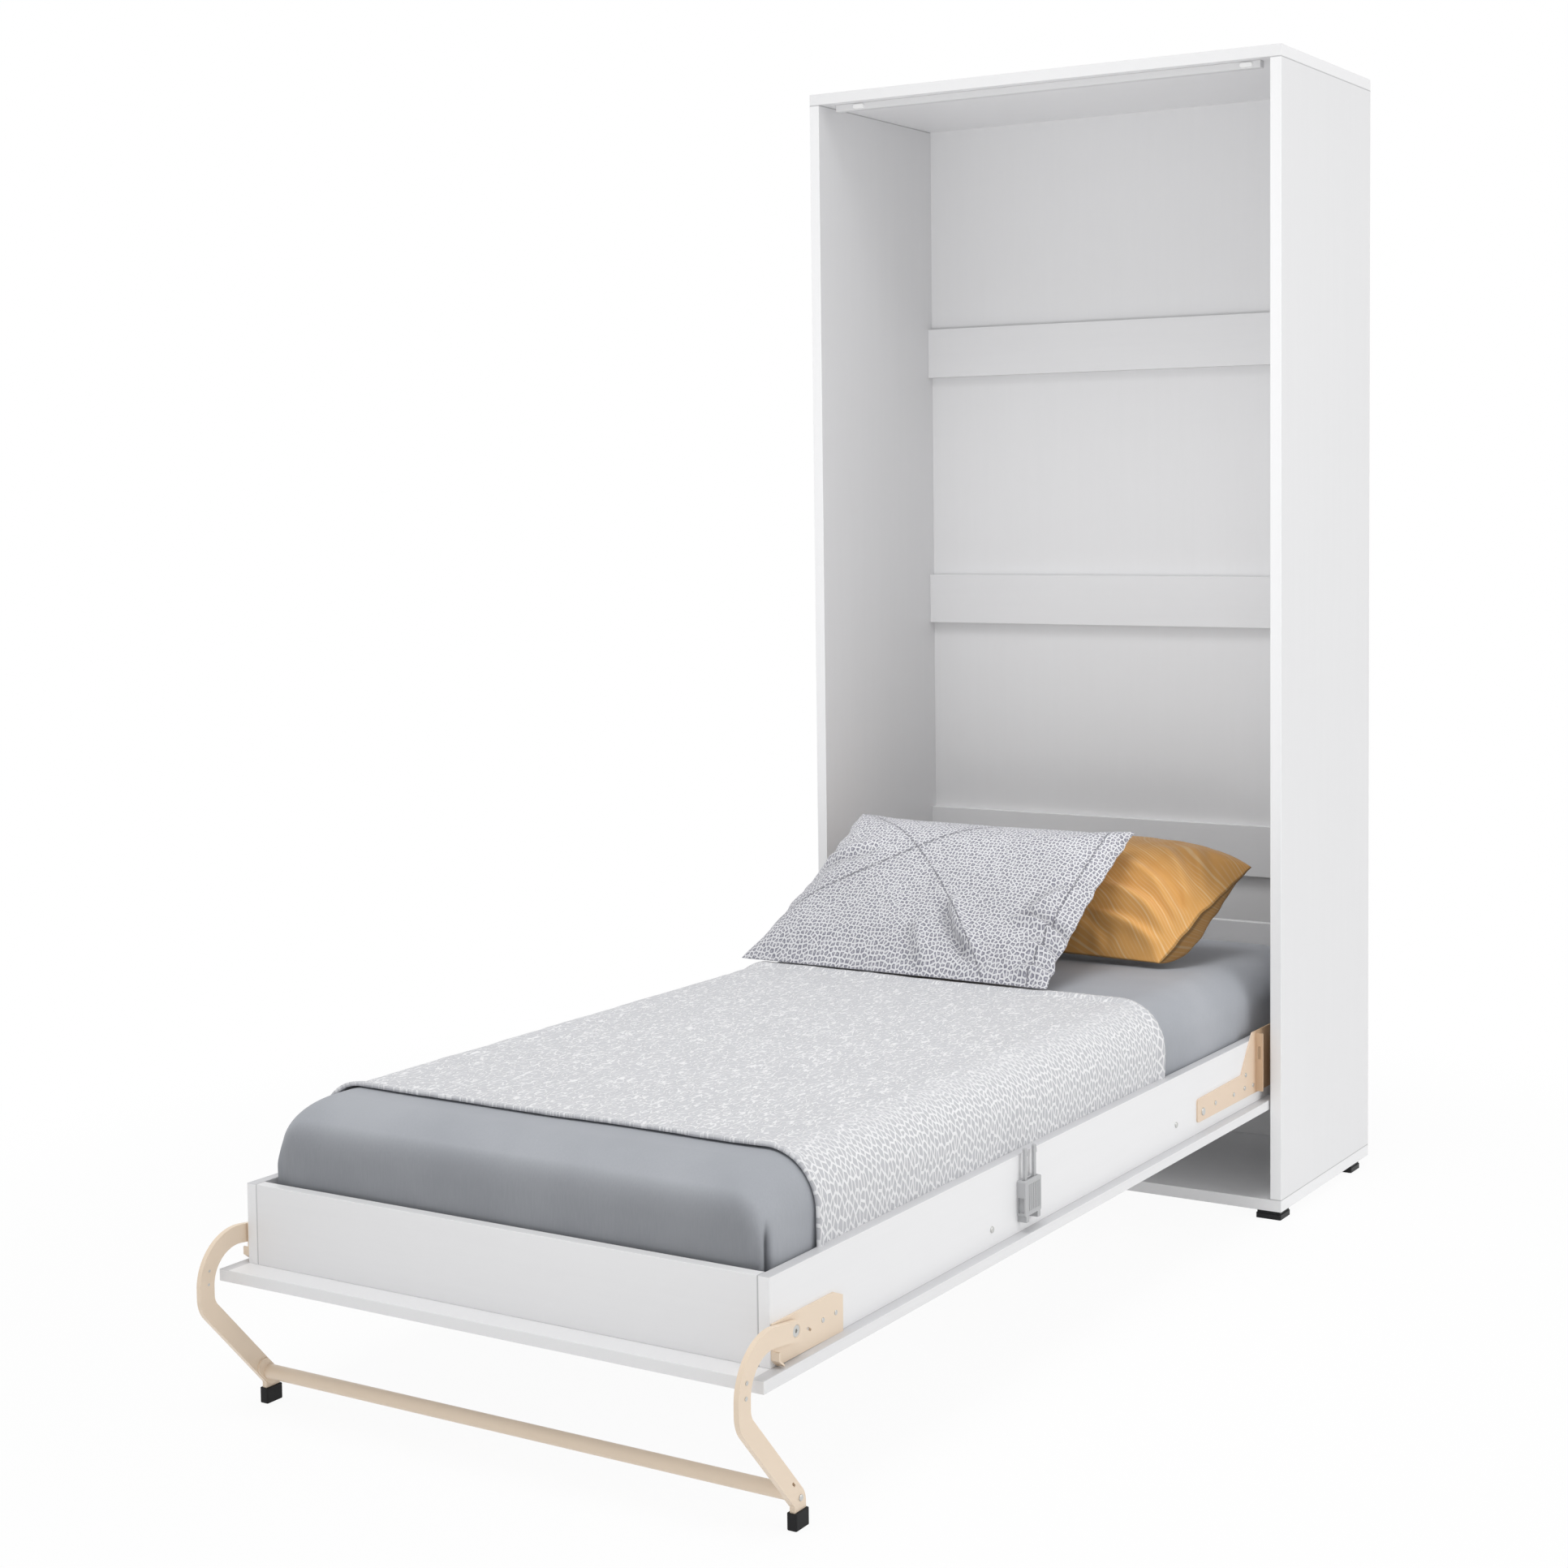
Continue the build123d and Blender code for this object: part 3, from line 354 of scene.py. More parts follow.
def hingeFinish():
    # the cream coat again as painted shade: a little darker on the arm, and from the hinge bracket's flange
    # inwards darker to a deep tan, where the cabinet shades it
    made, tree, shader = newMaterial("shadedHingeCoat", **coatGloss)
    place = objectPlace(tree)
    cloud = fillGroup(tree, mottle, {"Vector": place, "Slow": 18.0, "Fine": coatLook["dimples"]})
    flange = cornersOf("hinge_bracket_right", 1)[0] + coatLook["flange"]
    inward = remap(tree, partsOf(tree, place)[1], flange - 0.020, flange + 0.004)
    colour = mixColour(tree, inward, coatLook["hinge"], coatLook["hingeShadeInside"])
    rough = calc(tree, "MULTIPLY_ADD", cloud["Slow"], 0.14, coatLook["roughness"] - 0.07)
    finishSurface(tree, shader, colour, rough, cloud["Fine"], coatLook["bump"], 0.35)
    return made


shadedHingeCoat = hingeFinish()


birchLook = {"light": (0.70, 0.52, 0.32), "dark": (0.50, 0.33, 0.17)}


def birchFinish(name, stretch):
    # year rings drawn out along the grain, with the print's streaks between them
    made, tree, shader = newMaterial(name)
    place = objectPlace(tree)
    streaks = fillGroup(tree, grain, {"Vector": place, "Stretch": stretch})
    rings = noise(tree, stretched(tree, place, stretch), 22, 3, 0.5, 1.2)
    shade = calc(tree, "MULTIPLY_ADD", rings, 0.6, calc(tree, "MULTIPLY", streaks["Shade"], 0.4))
    colour = mixColour(tree, remap(tree, shade, 0.35, 0.65), birchLook["dark"], birchLook["light"])
    finishSurface(tree, shader, colour, remap(tree, streaks["Shade"], 0.2, 0.8, 0.45, 0.62),
                  streaks["Height"], 0.0002, 0.3)
    return made


birchAcross, birchAlong = birchFinish("birchAcross", (0.05, 1, 1)), birchFinish("birchAlong", (1, 0.05, 1))

finishOf = {
    boardUp: ["side_panel_left", "side_panel_right"],
    boardRail: ["side_rail_left", "side_rail_right"],
    boardDoor: ["door_panel"],
    boardFlat: ["top_panel", "bottom_panel"],
    boardAcross: ["back_rail_upper", "back_rail_middle", "back_rail_lower", "back_rail_bottom"],
    boardStop: ["top_stop_batten"],
    boardFoot: ["foot_board", "head_board"],
    backBoard: ["back_panel"],
    fittings["whitePlastic"]: ["door_bumpers"],
    fittings["blackPlastic"]: ["cabinet_feet"],
    fittings["blackRubber"]: ["leg_cap_left", "leg_cap_right"],
    fittings["nylonWhite"]: ["pivot_bush_left", "pivot_bush_right", "leg_washers"],
    fittings["greyPlastic"]: ["strap_buckle_body_left", "strap_buckle_body_right",
                              "strap_buckle_plug_left", "strap_buckle_plug_right"],
    creamCoat: ["leg_bracket_left", "leg_bracket_right", "leg_left", "leg_right", "leg_crossbar"],
    shadedHingeCoat: ["hinge_bracket_left", "hinge_bracket_right"],
    metals["zincPlated"]: [
        "pivot_plate_left", "pivot_plate_right", "pivot_plate_screws", "pivot_pin_left", "pivot_pin_right",
        "gas_spring_upper_stud_left", "gas_spring_upper_stud_right", "gas_spring_lower_stud_left",
        "gas_spring_lower_stud_right", "bottom_panel_screws", "hinge_bracket_screws", "rail_screws",
        "leg_bracket_rivets", "leg_pivot_bolt_left", "leg_pivot_bolt_right", "leg_bolts"],
    birchAcross: ["bed_slats"],
    birchAlong: ["slat_bearer_left", "slat_bearer_right"],
    metals["springBlack"]: ["gas_spring_cylinder_left", "gas_spring_cylinder_right"],
    metals["springChrome"]: ["gas_spring_rod_left", "gas_spring_rod_right"],
}
for finish, names in finishOf.items():
    for name in names:
        nodes[name].data.materials.clear()
        nodes[name].data.materials.append(finish)
print("finishes on", sum(len(names) for names in finishOf.values()), "frame nodes")


# mesh helpers
def gridFaces(rows, columns, closedAcross=False):
    # corner numbers of the squares of a grid of rows x columns points, row after row
    across = columns if closedAcross else columns - 1
    i, j = np.meshgrid(np.arange(rows - 1), np.arange(across), indexing="ij")
    k = (j + 1) % columns
    return np.stack([i * columns + j, i * columns + k, (i + 1) * columns + k, (i + 1) * columns + j],
                    -1).reshape(-1, 4)


def newPiece(name, points, faces, material, flatMap=None):
    # a smooth mesh from arrays; flatMap gives each face corner its place on the cloth, in metres
    mesh = bpy.data.meshes.new(name)
    mesh.from_pydata(points.reshape(-1, 3).tolist(), [], faces.tolist())
    if flatMap is not None:
        layer = mesh.uv_layers.new(name="cloth")
        layer.data.foreach_set("uv", flatMap.astype(np.float32).ravel())
    mesh.polygons.foreach_set("use_smooth", np.ones(len(mesh.polygons), bool))
    mesh.materials.append(material)
    mesh.update()
    piece = bpy.data.objects.new(name, mesh)
    bpy.context.scene.collection.objects.link(piece)
    return piece


def pointsOf(mesh):
    # the mesh's points as rows of x, y and z
    points = np.empty(len(mesh.vertices) * 3, np.float32)
    mesh.vertices.foreach_get("co", points)
    return points.reshape(-1, 3).astype(float)


def keepCrease(piece, value):
    # how deep in a fold each point lies, from 0 to 1, for the finish to read
    kept = piece.data.attributes.new("crease", "FLOAT", "POINT")
    kept.data.foreach_set("value", np.clip(value, 0, 1).ravel().astype(np.float32))


def waves(points, size, seed, count=14):
    # smooth unevenness from -1 to 1: a sum of plane waves in random directions, each about size long
    draw = np.random.default_rng(seed)
    direction = draw.normal(size=(count, points.shape[-1]))
    direction /= np.linalg.norm(direction, axis=1)[:, None]
    pace = 2 * math.pi / (size * draw.uniform(0.7, 1.6, count))
    phase = draw.uniform(0, 2 * math.pi, count)
    total = np.sin(points @ (direction * pace[:, None]).T + phase).sum(-1)
    return total / (count ** 0.5 * 1.6)


def smooth(low, high, value):
    # 0 below low, 1 above high, with an even slope between
    t = np.clip((value - low) / (high - low), 0, 1)
    return t * t * (3 - 2 * t)


def depth(millimetres):
    # metres in the frame for a distance in millimetres behind the cabinet's front edges
    return 0.6515 + millimetres * mm


# mattress
mattress = {
    "edge": 0.078, "corner": 0.050, "lowEdge": 0.012, "sag": 0.0022, "ripple": 0.0016,
    # corner pleats: how far they stand out, where they fade out, and the place and width of the ridge,
    # the groove beside it and the dark line in the groove
    "pleat": 0.0080, "pleatTop": 0.418, "pleatFoot": 0.375, "ridge": (-0.0040, 0.0070),
    "groove": (0.0080, 0.0055), "creaseWide": 0.0034,
}
mattressLow, mattressHigh = (np.array(corner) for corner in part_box("mattress"))


def mattressProfile(count=26):
    # from the middle of the underside out, up the side, round the top edge and in to the middle:
    # distance in from the rim, and height
    low, high = mattressLow[2], mattressHigh[2]
    turn = np.linspace(0, math.pi / 2, count)
    half = (mattressHigh[0] - mattressLow[0]) / 2
    under = np.linspace(half, mattress["lowEdge"] + 0.02, 8)
    lowTurn = np.linspace(0, math.pi / 2, 5)
    side = np.linspace(low + mattress["lowEdge"], high - mattress["edge"], 24)[1:-1]
    top = np.linspace(mattress["edge"] + 0.006, half, 40)
    inset = [under, mattress["lowEdge"] * (1 - np.sin(lowTurn)), side * 0,
             mattress["edge"] * (1 - np.cos(turn)), top]
    height = [under * 0 + low, low + mattress["lowEdge"] * (1 - np.cos(lowTurn)), side,
              high - mattress["edge"] * (1 - np.sin(turn)), top * 0 + high]
    return np.concatenate(inset), np.concatenate(height)


def mattressRim():
    # a rectangle with round corners, once round from the foot's middle: points and outward directions
    x1, y0, y1, r = mattressHigh[0], mattressLow[1], mattressHigh[1], mattress["corner"]
    turn = np.linspace(0, math.pi / 2, 70)
    parts, ways = [], []
    corners = ((x1 - r, y0 + r, -math.pi / 2), (x1 - r, y1 - r, 0), (-x1 + r, y1 - r, math.pi / 2),
               (-x1 + r, y0 + r, math.pi))
    for index, (cx, cy, start) in enumerate(corners):
        way = np.stack([np.cos(start + turn), np.sin(start + turn)], -1)
        arc = np.array([cx, cy]) + r * way
        nx, ny, nextStart = corners[(index + 1) % 4]
        goal = np.array([nx, ny]) + r * np.array([math.cos(nextStart), math.sin(nextStart)])
        steps = max(2, int(np.linalg.norm(goal - arc[-1]) / 0.013))
        share = np.linspace(0, 1, steps + 1)[1:-1, None]
        parts += [arc, arc[-1] + share * (goal - arc[-1])]
        ways += [way, np.repeat(way[-1:], steps - 1, 0)]
    return np.concatenate(parts), np.concatenate(ways)


def restSag(x, y):
    # how far the top lies under its highest level: slow dips, none near the rim
    within = smooth(0.0, 0.12, mattressHigh[0] - np.abs(x))
    return mattress["sag"] * within * (0.5 + 0.5 * waves(np.stack([x, y], -1), 0.42, 3))


def buildMattress(material):
    # each rim point runs in towards the bed's middle line by its profile's inset over the half width
    inset, height = mattressProfile()
    rim, way = mattressRim()
    half = (mattressHigh[0] - mattressLow[0]) / 2
    middle = np.stack([rim[:, 0] * 0, np.clip(rim[:, 1], mattressLow[1] + half, mattressHigh[1] - half)], -1)
    share = (1 - inset / half)[:, None, None]
    flat = middle + (rim - middle) * share
    points = np.concatenate([flat, np.broadcast_to(height[:, None, None], flat.shape[:2] + (1,))], -1)
    # pleats at the four corners: a ridge and a groove beside it, fading out upwards
    inCorner = mattress["corner"] * 0.3
    corner = np.array([[sx * (mattressHigh[0] - inCorner), y] for sx in (-1, 1)
                       for y in (mattressLow[1] + inCorner, mattressHigh[1] - inCorner)])
    side = np.where(way[:, 0] * way[:, 1] < 0, 1, -1)
    crease = np.zeros(points.shape[:2])
    for place in corner:
        near = np.linalg.norm(rim - place, axis=1)
        outward = np.array([np.sign(place[0]), np.sign(place[1])]) / 2 ** 0.5
        across = (way[:, 0] * -outward[1] + way[:, 1] * outward[0]) * mattress["corner"] * side
        facing = (way @ outward) > 0.4
        (ridgeAt, ridgeWide), (grooveAt, grooveWide) = mattress["ridge"], mattress["groove"]
        ridge = (np.exp(-((across - ridgeAt) / ridgeWide) ** 2)
                 - 1.1 * np.exp(-((across - grooveAt) / grooveWide) ** 2)) * facing * (near < 0.2)
        rise = smooth(mattress["pleatTop"], mattress["pleatFoot"], points[:, 0, 2])
        lower = (rise * (inset < 0.02))[:, None]
        push = mattress["pleat"] * lower * ridge[None, :]
        # the groove's bottom is kept as crease, for the finish to darken as painted shade
        groove = np.exp(-((across - grooveAt) / mattress["creaseWide"]) ** 2) * facing * (near < 0.2)
        crease = np.maximum(crease, lower * groove[None, :])
        points[..., :2] += push[..., None] * way[None]
    # soft waves on the sides, slow dips on the top
    onSide = (inset < 0.07)[:, None]
    wave = (waves(points, 0.30, 5) - 1) * onSide * mattress["ripple"]
    points[..., :2] += wave[..., None] * way[None] * (share[..., 0] > 0)[..., None]
    onTop = (height > mattressHigh[2] - 0.03)[:, None]
    points[..., 2] -= restSag(points[..., 0], points[..., 1]) * onTop
    rows, columns = points.shape[:2]
    piece = newPiece("mattressInSheet", points, gridFaces(rows, columns, True), material)
    keepCrease(piece, crease)
    edit = bmesh.new()
    edit.from_mesh(piece.data)
    bmesh.ops.remove_doubles(edit, verts=edit.verts, dist=1e-6)
    bmesh.ops.recalc_face_normals(edit, faces=edit.faces)
    edit.to_mesh(piece.data)
    edit.free()
    return piece


jersey = {"light": (0.42, 0.436, 0.468), "dark": (0.37, 0.386, 0.418), "footShade": 0.31,
          "sideShade": 0.09, "bodyShade": 0.06, "creaseShade": 0.55}


def jerseyFinish():
    # a faint upright rib and cloud; the foot end is darker by footShade, more to the right by sideShade,
    # all but the head end by bodyShade and the corner pleats by creaseShade
    made, tree, shader = newMaterial("mattressJersey", Sheen_Weight=0.08, Sheen_Roughness=0.4,
                                     Specular_IOR_Level=0.3)
    place = objectPlace(tree)
    rib = noise(tree, stretched(tree, place, (1, 1, 0.12)), 420, 2, 0.5)
    cloud = fillGroup(tree, mottle, {"Vector": place, "Slow": 5.0, "Fine": 700.0})
    shade = calc(tree, "MULTIPLY_ADD", rib, 0.22, calc(tree, "MULTIPLY", cloud["Slow"], 0.7))
    colour = mixColour(tree, remap(tree, shade, 0.3, 0.62), jersey["dark"], jersey["light"])
    x, y = partsOf(tree, place)[:2]
    # painted shade: the foot end darker, more so to the right, all but the head end a little darker, and the
    # pleats' grooves darker
    foot = float(mattressLow[1])
    onFoot = remap(tree, y, foot + 0.002, foot + 0.022, 1.0, 0.0)
    colour = darkened(tree, colour, onFoot, jersey["footShade"])
    toRight = calc(tree, "MULTIPLY", onFoot, remap(tree, x, 0.0, 0.44))
    colour = darkened(tree, colour, toRight, jersey["sideShade"])
    body = remap(tree, y, depth(-420), depth(-250), 1.0, 0.0)
    colour = darkened(tree, colour, body, jersey["bodyShade"])
    colour = darkened(tree, colour, creaseOf(tree), jersey["creaseShade"])
    height = calc(tree, "MULTIPLY_ADD", rib, 0.5, cloud["Fine"])
    finishSurface(tree, shader, colour, remap(tree, cloud["Fine"], 0.3, 0.7, 0.72, 0.86), height, 0.0003, 0.3)
    return made


mattressPiece = buildMattress(jerseyFinish())
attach(mattressPiece, "bed_box")
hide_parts("mattress")
print("mattress", len(mattressPiece.data.polygons), "faces")


# coverlet
coverlet = {
    "gap": 0.0006, "thickness": 0.0026, "hem": 0.013, "hemThickness": 0.0062, "lowest": 0.300,
    "footEdge": -1542, "headEdge": -404, "step": 0.0058,
    # how far its ends stand off the mattress, its low creases, and the run of its edge to and fro
    "endLift": 0.0016, "slowCrease": 0.0013, "fineCrease": 0.0008, "edgeRun": 0.0016,
}


def coverletSection():
    # half of the section, from the middle of the top out and down: x, height and outward direction,
    # evenly spaced along the cloth
    inset, height = mattressProfile(200)
    keep = height > coverlet["lowest"]
    inset, height = inset[keep][::-1], height[keep][::-1]
    x = mattressHigh[0] - inset
    dense = np.linspace(0, 1, 3000)
    along = np.concatenate([[0], np.cumsum(np.hypot(np.diff(x), np.diff(height)))])
    x, height = (np.interp(dense * along[-1], along, value) for value in (x, height))
    tangent = np.stack([np.gradient(x), np.gradient(height)], -1)
    tangent /= np.linalg.norm(tangent, axis=1)[:, None]
    out = np.stack([-tangent[:, 1], tangent[:, 0]], -1)
    count = int(along[-1] / coverlet["step"])
    place = np.linspace(0, 1, count)
    pick = lambda value: np.interp(place, dense, value)
    return pick(x), pick(height), np.stack([pick(out[:, 0]), pick(out[:, 1])], -1), place * along[-1]


def buildCoverlet(material):
    # the section carried along the bed on a grid of the flat cloth, standing off outwards by its creases
    x, height, out, run = coverletSection()
    x, height = np.concatenate([-x[:0:-1], x]), np.concatenate([height[:0:-1], height])
    out = np.concatenate([out[:0:-1] * [-1, 1], out])
    run = np.concatenate([-run[:0:-1], run])
    length = (coverlet["headEdge"] - coverlet["footEdge"]) * mm
    y = np.linspace(0, 1, int(length / coverlet["step"]))
    grid = np.stack(np.meshgrid(run, y * length, indexing="ij"), -1)
    across, along = grid[..., 0], grid[..., 1]
    points = np.empty(grid.shape[:2] + (3,))
    points[..., 0] = x[:, None]
    points[..., 1] = depth(coverlet["footEdge"]) + along
    points[..., 2] = height[:, None]
    onTop = smooth(0.44, 0.36, np.abs(across))
    points[..., 2] -= restSag(points[..., 0], points[..., 1]) * onTop
    # the cloth lies on the mattress, stands off a little at both ends, and has low soft creases
    edge = np.minimum(along, length - along)
    lift = coverlet["endLift"] * smooth(0.03, 0.0, edge)
    crease = (coverlet["slowCrease"] * (0.5 + 0.5 * waves(grid, 0.16, 11))
              + coverlet["fineCrease"] * (0.5 + 0.5 * waves(grid, 0.05, 12)))
    stand = coverlet["gap"] + lift + crease * smooth(0.0, 0.02, height - 0.31)[:, None]
    points[..., 0] += out[:, 0][:, None] * stand
    points[..., 2] += out[:, 1][:, None] * stand
    points[..., 1] += coverlet["edgeRun"] * waves(grid * [1, 0], 0.22, 13) * smooth(0.05, 0.0, edge)
    faces = gridFaces(*grid.shape[:2])
    flat = grid.reshape(-1, 2) + [1, 0.1]
    piece = newPiece("coverletCloth", points, faces, material, flat[faces])
    # the wall is thick at the hems and thin between, in hundredths of the hem's thickness
    weight = smooth(coverlet["hem"] * 1.3, coverlet["hem"] * 0.8, edge).ravel()
    thin = coverlet["thickness"] / coverlet["hemThickness"]
    group = piece.vertex_groups.new(name="hem")
    share = np.round(thin + (1 - thin) * weight, 2)
    for value in np.unique(share):
        group.add(np.nonzero(share == value)[0].tolist(), float(value), "REPLACE")
    edit = bmesh.new()
    edit.from_mesh(piece.data)
    bmesh.ops.reverse_faces(edit, faces=edit.faces)
    edit.to_mesh(piece.data)
    edit.free()
    wall = piece.modifiers.new("wall", "SOLIDIFY")
    wall.thickness = coverlet["hemThickness"]
    wall.vertex_group = "hem"
    wall.offset = 1
    return piece, (float(run[-1] - run[0]), length)


coverletLook = {
    "ground": (0.59, 0.595, 0.62), "cloudy": 0.94, "drapeGround": (0.53, 0.535, 0.56),
    "thread": (0.87, 0.87, 0.88), "threadShare": 0.85, "maze": 145.0, "mazeLong": 0.38,
    # the net on the drapes: where it takes over, size of a cell, its height over the bend and below it,
    # where the bend ends, and the slant of its rows
    "netFrom": 0.36, "netTo": 0.45, "cell": 9.2, "bendLong": 0.66, "dropLong": 0.50, "bendEnd": 0.47,
    "slant": 0.6,
}


def coverletFinish():
    # a fine squiggle on the top; on the drapes flat cells in slanted rows between white threads
    made, tree, shader = newMaterial("coverletWeave", Sheen_Weight=0.15, Specular_IOR_Level=0.25)
    flat = clothPlace(tree)
    parts = partsOf(tree, flat)
    fromMiddle = calc(tree, "SUBTRACT", parts[0], 1.0)
    across = calc(tree, "ABSOLUTE", fromMiddle)
    drape = remap(tree, across, coverletLook["netFrom"], coverletLook["netTo"])
    # down the drape the way is counted bendLong times as long over the bend and dropLong times below it
    bendEnd = coverletLook["bendEnd"]
    above = calc(tree, "MULTIPLY", calc(tree, "MINIMUM", across, bendEnd), coverletLook["bendLong"])
    below = calc(tree, "MAXIMUM", calc(tree, "SUBTRACT", across, bendEnd), 0.0)
    down = calc(tree, "MULTIPLY_ADD", below, coverletLook["dropLong"], above)
    down = calc(tree, "MULTIPLY", calc(tree, "SIGN", fromMiddle), down)
    bent = put(tree, "ShaderNodeCombineXYZ", {0: down, 1: parts[1]}).outputs[0]
    slanted = put(tree, "ShaderNodeVectorRotate", {"Vector": bent, "Angle": coverletLook["slant"]},
                  rotation_type="Z_AXIS").outputs[0]
    net = fillGroup(tree, cellNet, {"Vector": slanted, "Thread": 0.10, "Cell": coverletLook["cell"],
                                    "Loose": 0.7})
    level = noise(tree, stretched(tree, flat, (1, coverletLook["mazeLong"], 1)), coverletLook["maze"],
                  0.0, 0.5, 0.6)
    maze = nearTo(tree, level, 0.5, 0.02, 0.085)
    thread = calc(tree, "ADD", calc(tree, "MULTIPLY", maze, calc(tree, "SUBTRACT", 1.0, drape)),
                  calc(tree, "MULTIPLY", net["Thread"], drape))
    cloud = fillGroup(tree, mottle, {"Vector": flat, "Slow": 9.0, "Fine": 900.0})
    ground = mixColour(tree, cloud["Slow"], tuple(c * coverletLook["cloudy"] for c in coverletLook["ground"]),
                       coverletLook["ground"])
    ground = mixColour(tree, drape, ground, coverletLook["drapeGround"])
    colour = mixColour(tree, calc(tree, "MULTIPLY", thread, coverletLook["threadShare"]), ground,
                       coverletLook["thread"])
    fine = fillGroup(tree, weave, {"Vector": flat, "Count": 700.0})["Height"]
    height = calc(tree, "MULTIPLY_ADD", fine, 0.2, thread)
    finishSurface(tree, shader, colour, remap(tree, cloud["Fine"], 0.3, 0.7, 0.74, 0.88), height, 0.0009, 0.7)
    return made


coverletPiece, coverletCut = buildCoverlet(coverletFinish())
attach(coverletPiece, "bed_box")
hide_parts("coverlet")
print("coverlet cut", [round(side, 3) for side in coverletCut])


# pillows
backApart = 0.05  # between the maps of a case's front and back sheet


def pillowCase(name, width, height, step, material):
    # two flat sheets with one rim, puffed up a little: front rows x columns points, back the inner ones only
    columns, rows = int(width / step) + 1, int(height / step) + 1
    u, v = np.meshgrid(np.linspace(-1, 1, columns), np.linspace(-1, 1, rows), indexing="xy")
    puff = 0.012 * ((1 - u ** 2) * (1 - v ** 2)) ** 0.5
    front = np.stack([u * width / 2, v * height / 2, puff], -1).reshape(-1, 3)
    inner = np.zeros((rows, columns), bool)
    inner[1:-1, 1:-1] = True
    back = front.copy()
    back[:, 2] *= -1
    number = np.arange(rows * columns).reshape(rows, columns)
    backNumber = number.copy()
    backNumber[inner] = rows * columns + np.arange(inner.sum())
    points = np.concatenate([front, back[inner.ravel()]])
    squares = gridFaces(rows, columns)
    backSquares = backNumber.ravel()[squares][:, ::-1]
    flat = front[:, :2] + [width / 2, height / 2]
    flatMap = np.concatenate([flat[squares], flat[squares][:, ::-1] + [width + backApart, 0]])
    return newPiece(name, points, np.concatenate([squares, backSquares]), material, flatMap)


def inflate(piece, pressure, stiff, frames=22):
    # cloth with air pressure and no weight, stepped and then read back as plain points
    cloth = piece.modifiers.new("cloth", "CLOTH")
    kit = cloth.settings
    kit.quality = 6
    kit.mass = 0.3
    kit.tension_stiffness = kit.compression_stiffness = stiff
    kit.bending_stiffness = 0.35
    kit.use_pressure = True
    kit.uniform_pressure_force = pressure
    kit.effector_weights.gravity = 0
    cloth.point_cache.frame_start, cloth.point_cache.frame_end = 1, frames
    for number in range(1, frames + 1):
        bpy.context.scene.frame_set(number)
    swollen = piece.evaluated_get(bpy.context.evaluated_depsgraph_get())
    points = pointsOf(swollen.to_mesh())
    swollen.to_mesh_clear()
    piece.modifiers.remove(cloth)
    bpy.context.scene.frame_set(1)
    return points


pillowRest = {"clear": 0.0012, "overCoverlet": 0.0074}


def ground(y):
    # the height that the pillows lie on: the mattress, or the coverlet past its head edge
    onCover = smooth(depth(coverlet["headEdge"] + 10), depth(coverlet["headEdge"] + 1), y)
    return mattressHigh[2] + pillowRest["clear"] + pillowRest["overCoverlet"] * onCover


def layPillow(local, look):
    # the flat form's two directions run between the four rest corners, arched upwards in the middle of
    # the top, its thickness along their normal; what would go under the mattress is pressed flat on it
    a = local[:, 0] / look["width"] + 0.5
    b = local[:, 1] / look["height"] + 0.5
    topLeft, topRight, lowRight, lowLeft = (np.array(c) for c in look["corners"])
    low = lowLeft + (lowRight - lowLeft) * a[:, None]
    top = topLeft + (topRight - topLeft) * a[:, None]
    base = low + (top - low) * b[:, None]
    base[:, 2] += look["arch"] * np.clip(b, 0, 1) * np.clip(1 - (2 * a - 1) ** 4, 0, 1)
    alongWay = (lowRight - lowLeft) + (topRight - topLeft)
    upWay = (topLeft - lowLeft) + (topRight - lowRight)
    normal = np.cross(alongWay, upWay)
    normal /= np.linalg.norm(normal)
    thick = local[:, 2] * np.where(local[:, 2] > 0, look["front"], look["back"])
    placed = base + normal * thick[:, None]
    floor = ground(placed[:, 1])
    over = placed[:, 2] - floor
    soft = look["press"]
    placed[:, 2] = floor + np.maximum(over, 0) + soft * np.log1p(np.exp(-np.abs(over) / soft))
    return placed


def foldsOf(local, folds):
    # each fold runs along a bent line from one point to another: height times a bell across the line,
    # less a bell beside it for the valley
    rise, valley = np.zeros(len(local)), np.zeros(len(local))
    for (x0, y0), (x1, y1), tall, wide in folds:
        line = np.array([x1 - x0, y1 - y0])
        long = np.hypot(*line)
        rel = local[:, :2] - [x0, y0]
        t = (rel @ line) / long ** 2
        bend = 0.06 * long * np.sin(math.pi * np.clip(t, 0, 1))
        off = (rel[:, 0] * line[1] - rel[:, 1] * line[0]) / long - bend
        share = smooth(-0.05, 0.2, t) * smooth(1.05, 0.7, t)
        dip = np.exp(-(off / wide - 1.7) ** 2) * share
        rise += tall * (np.exp(-(off / wide) ** 2) * share - 0.75 * dip)
        valley += dip * tall / 0.016
    return rise, np.clip(valley, 0, 1)


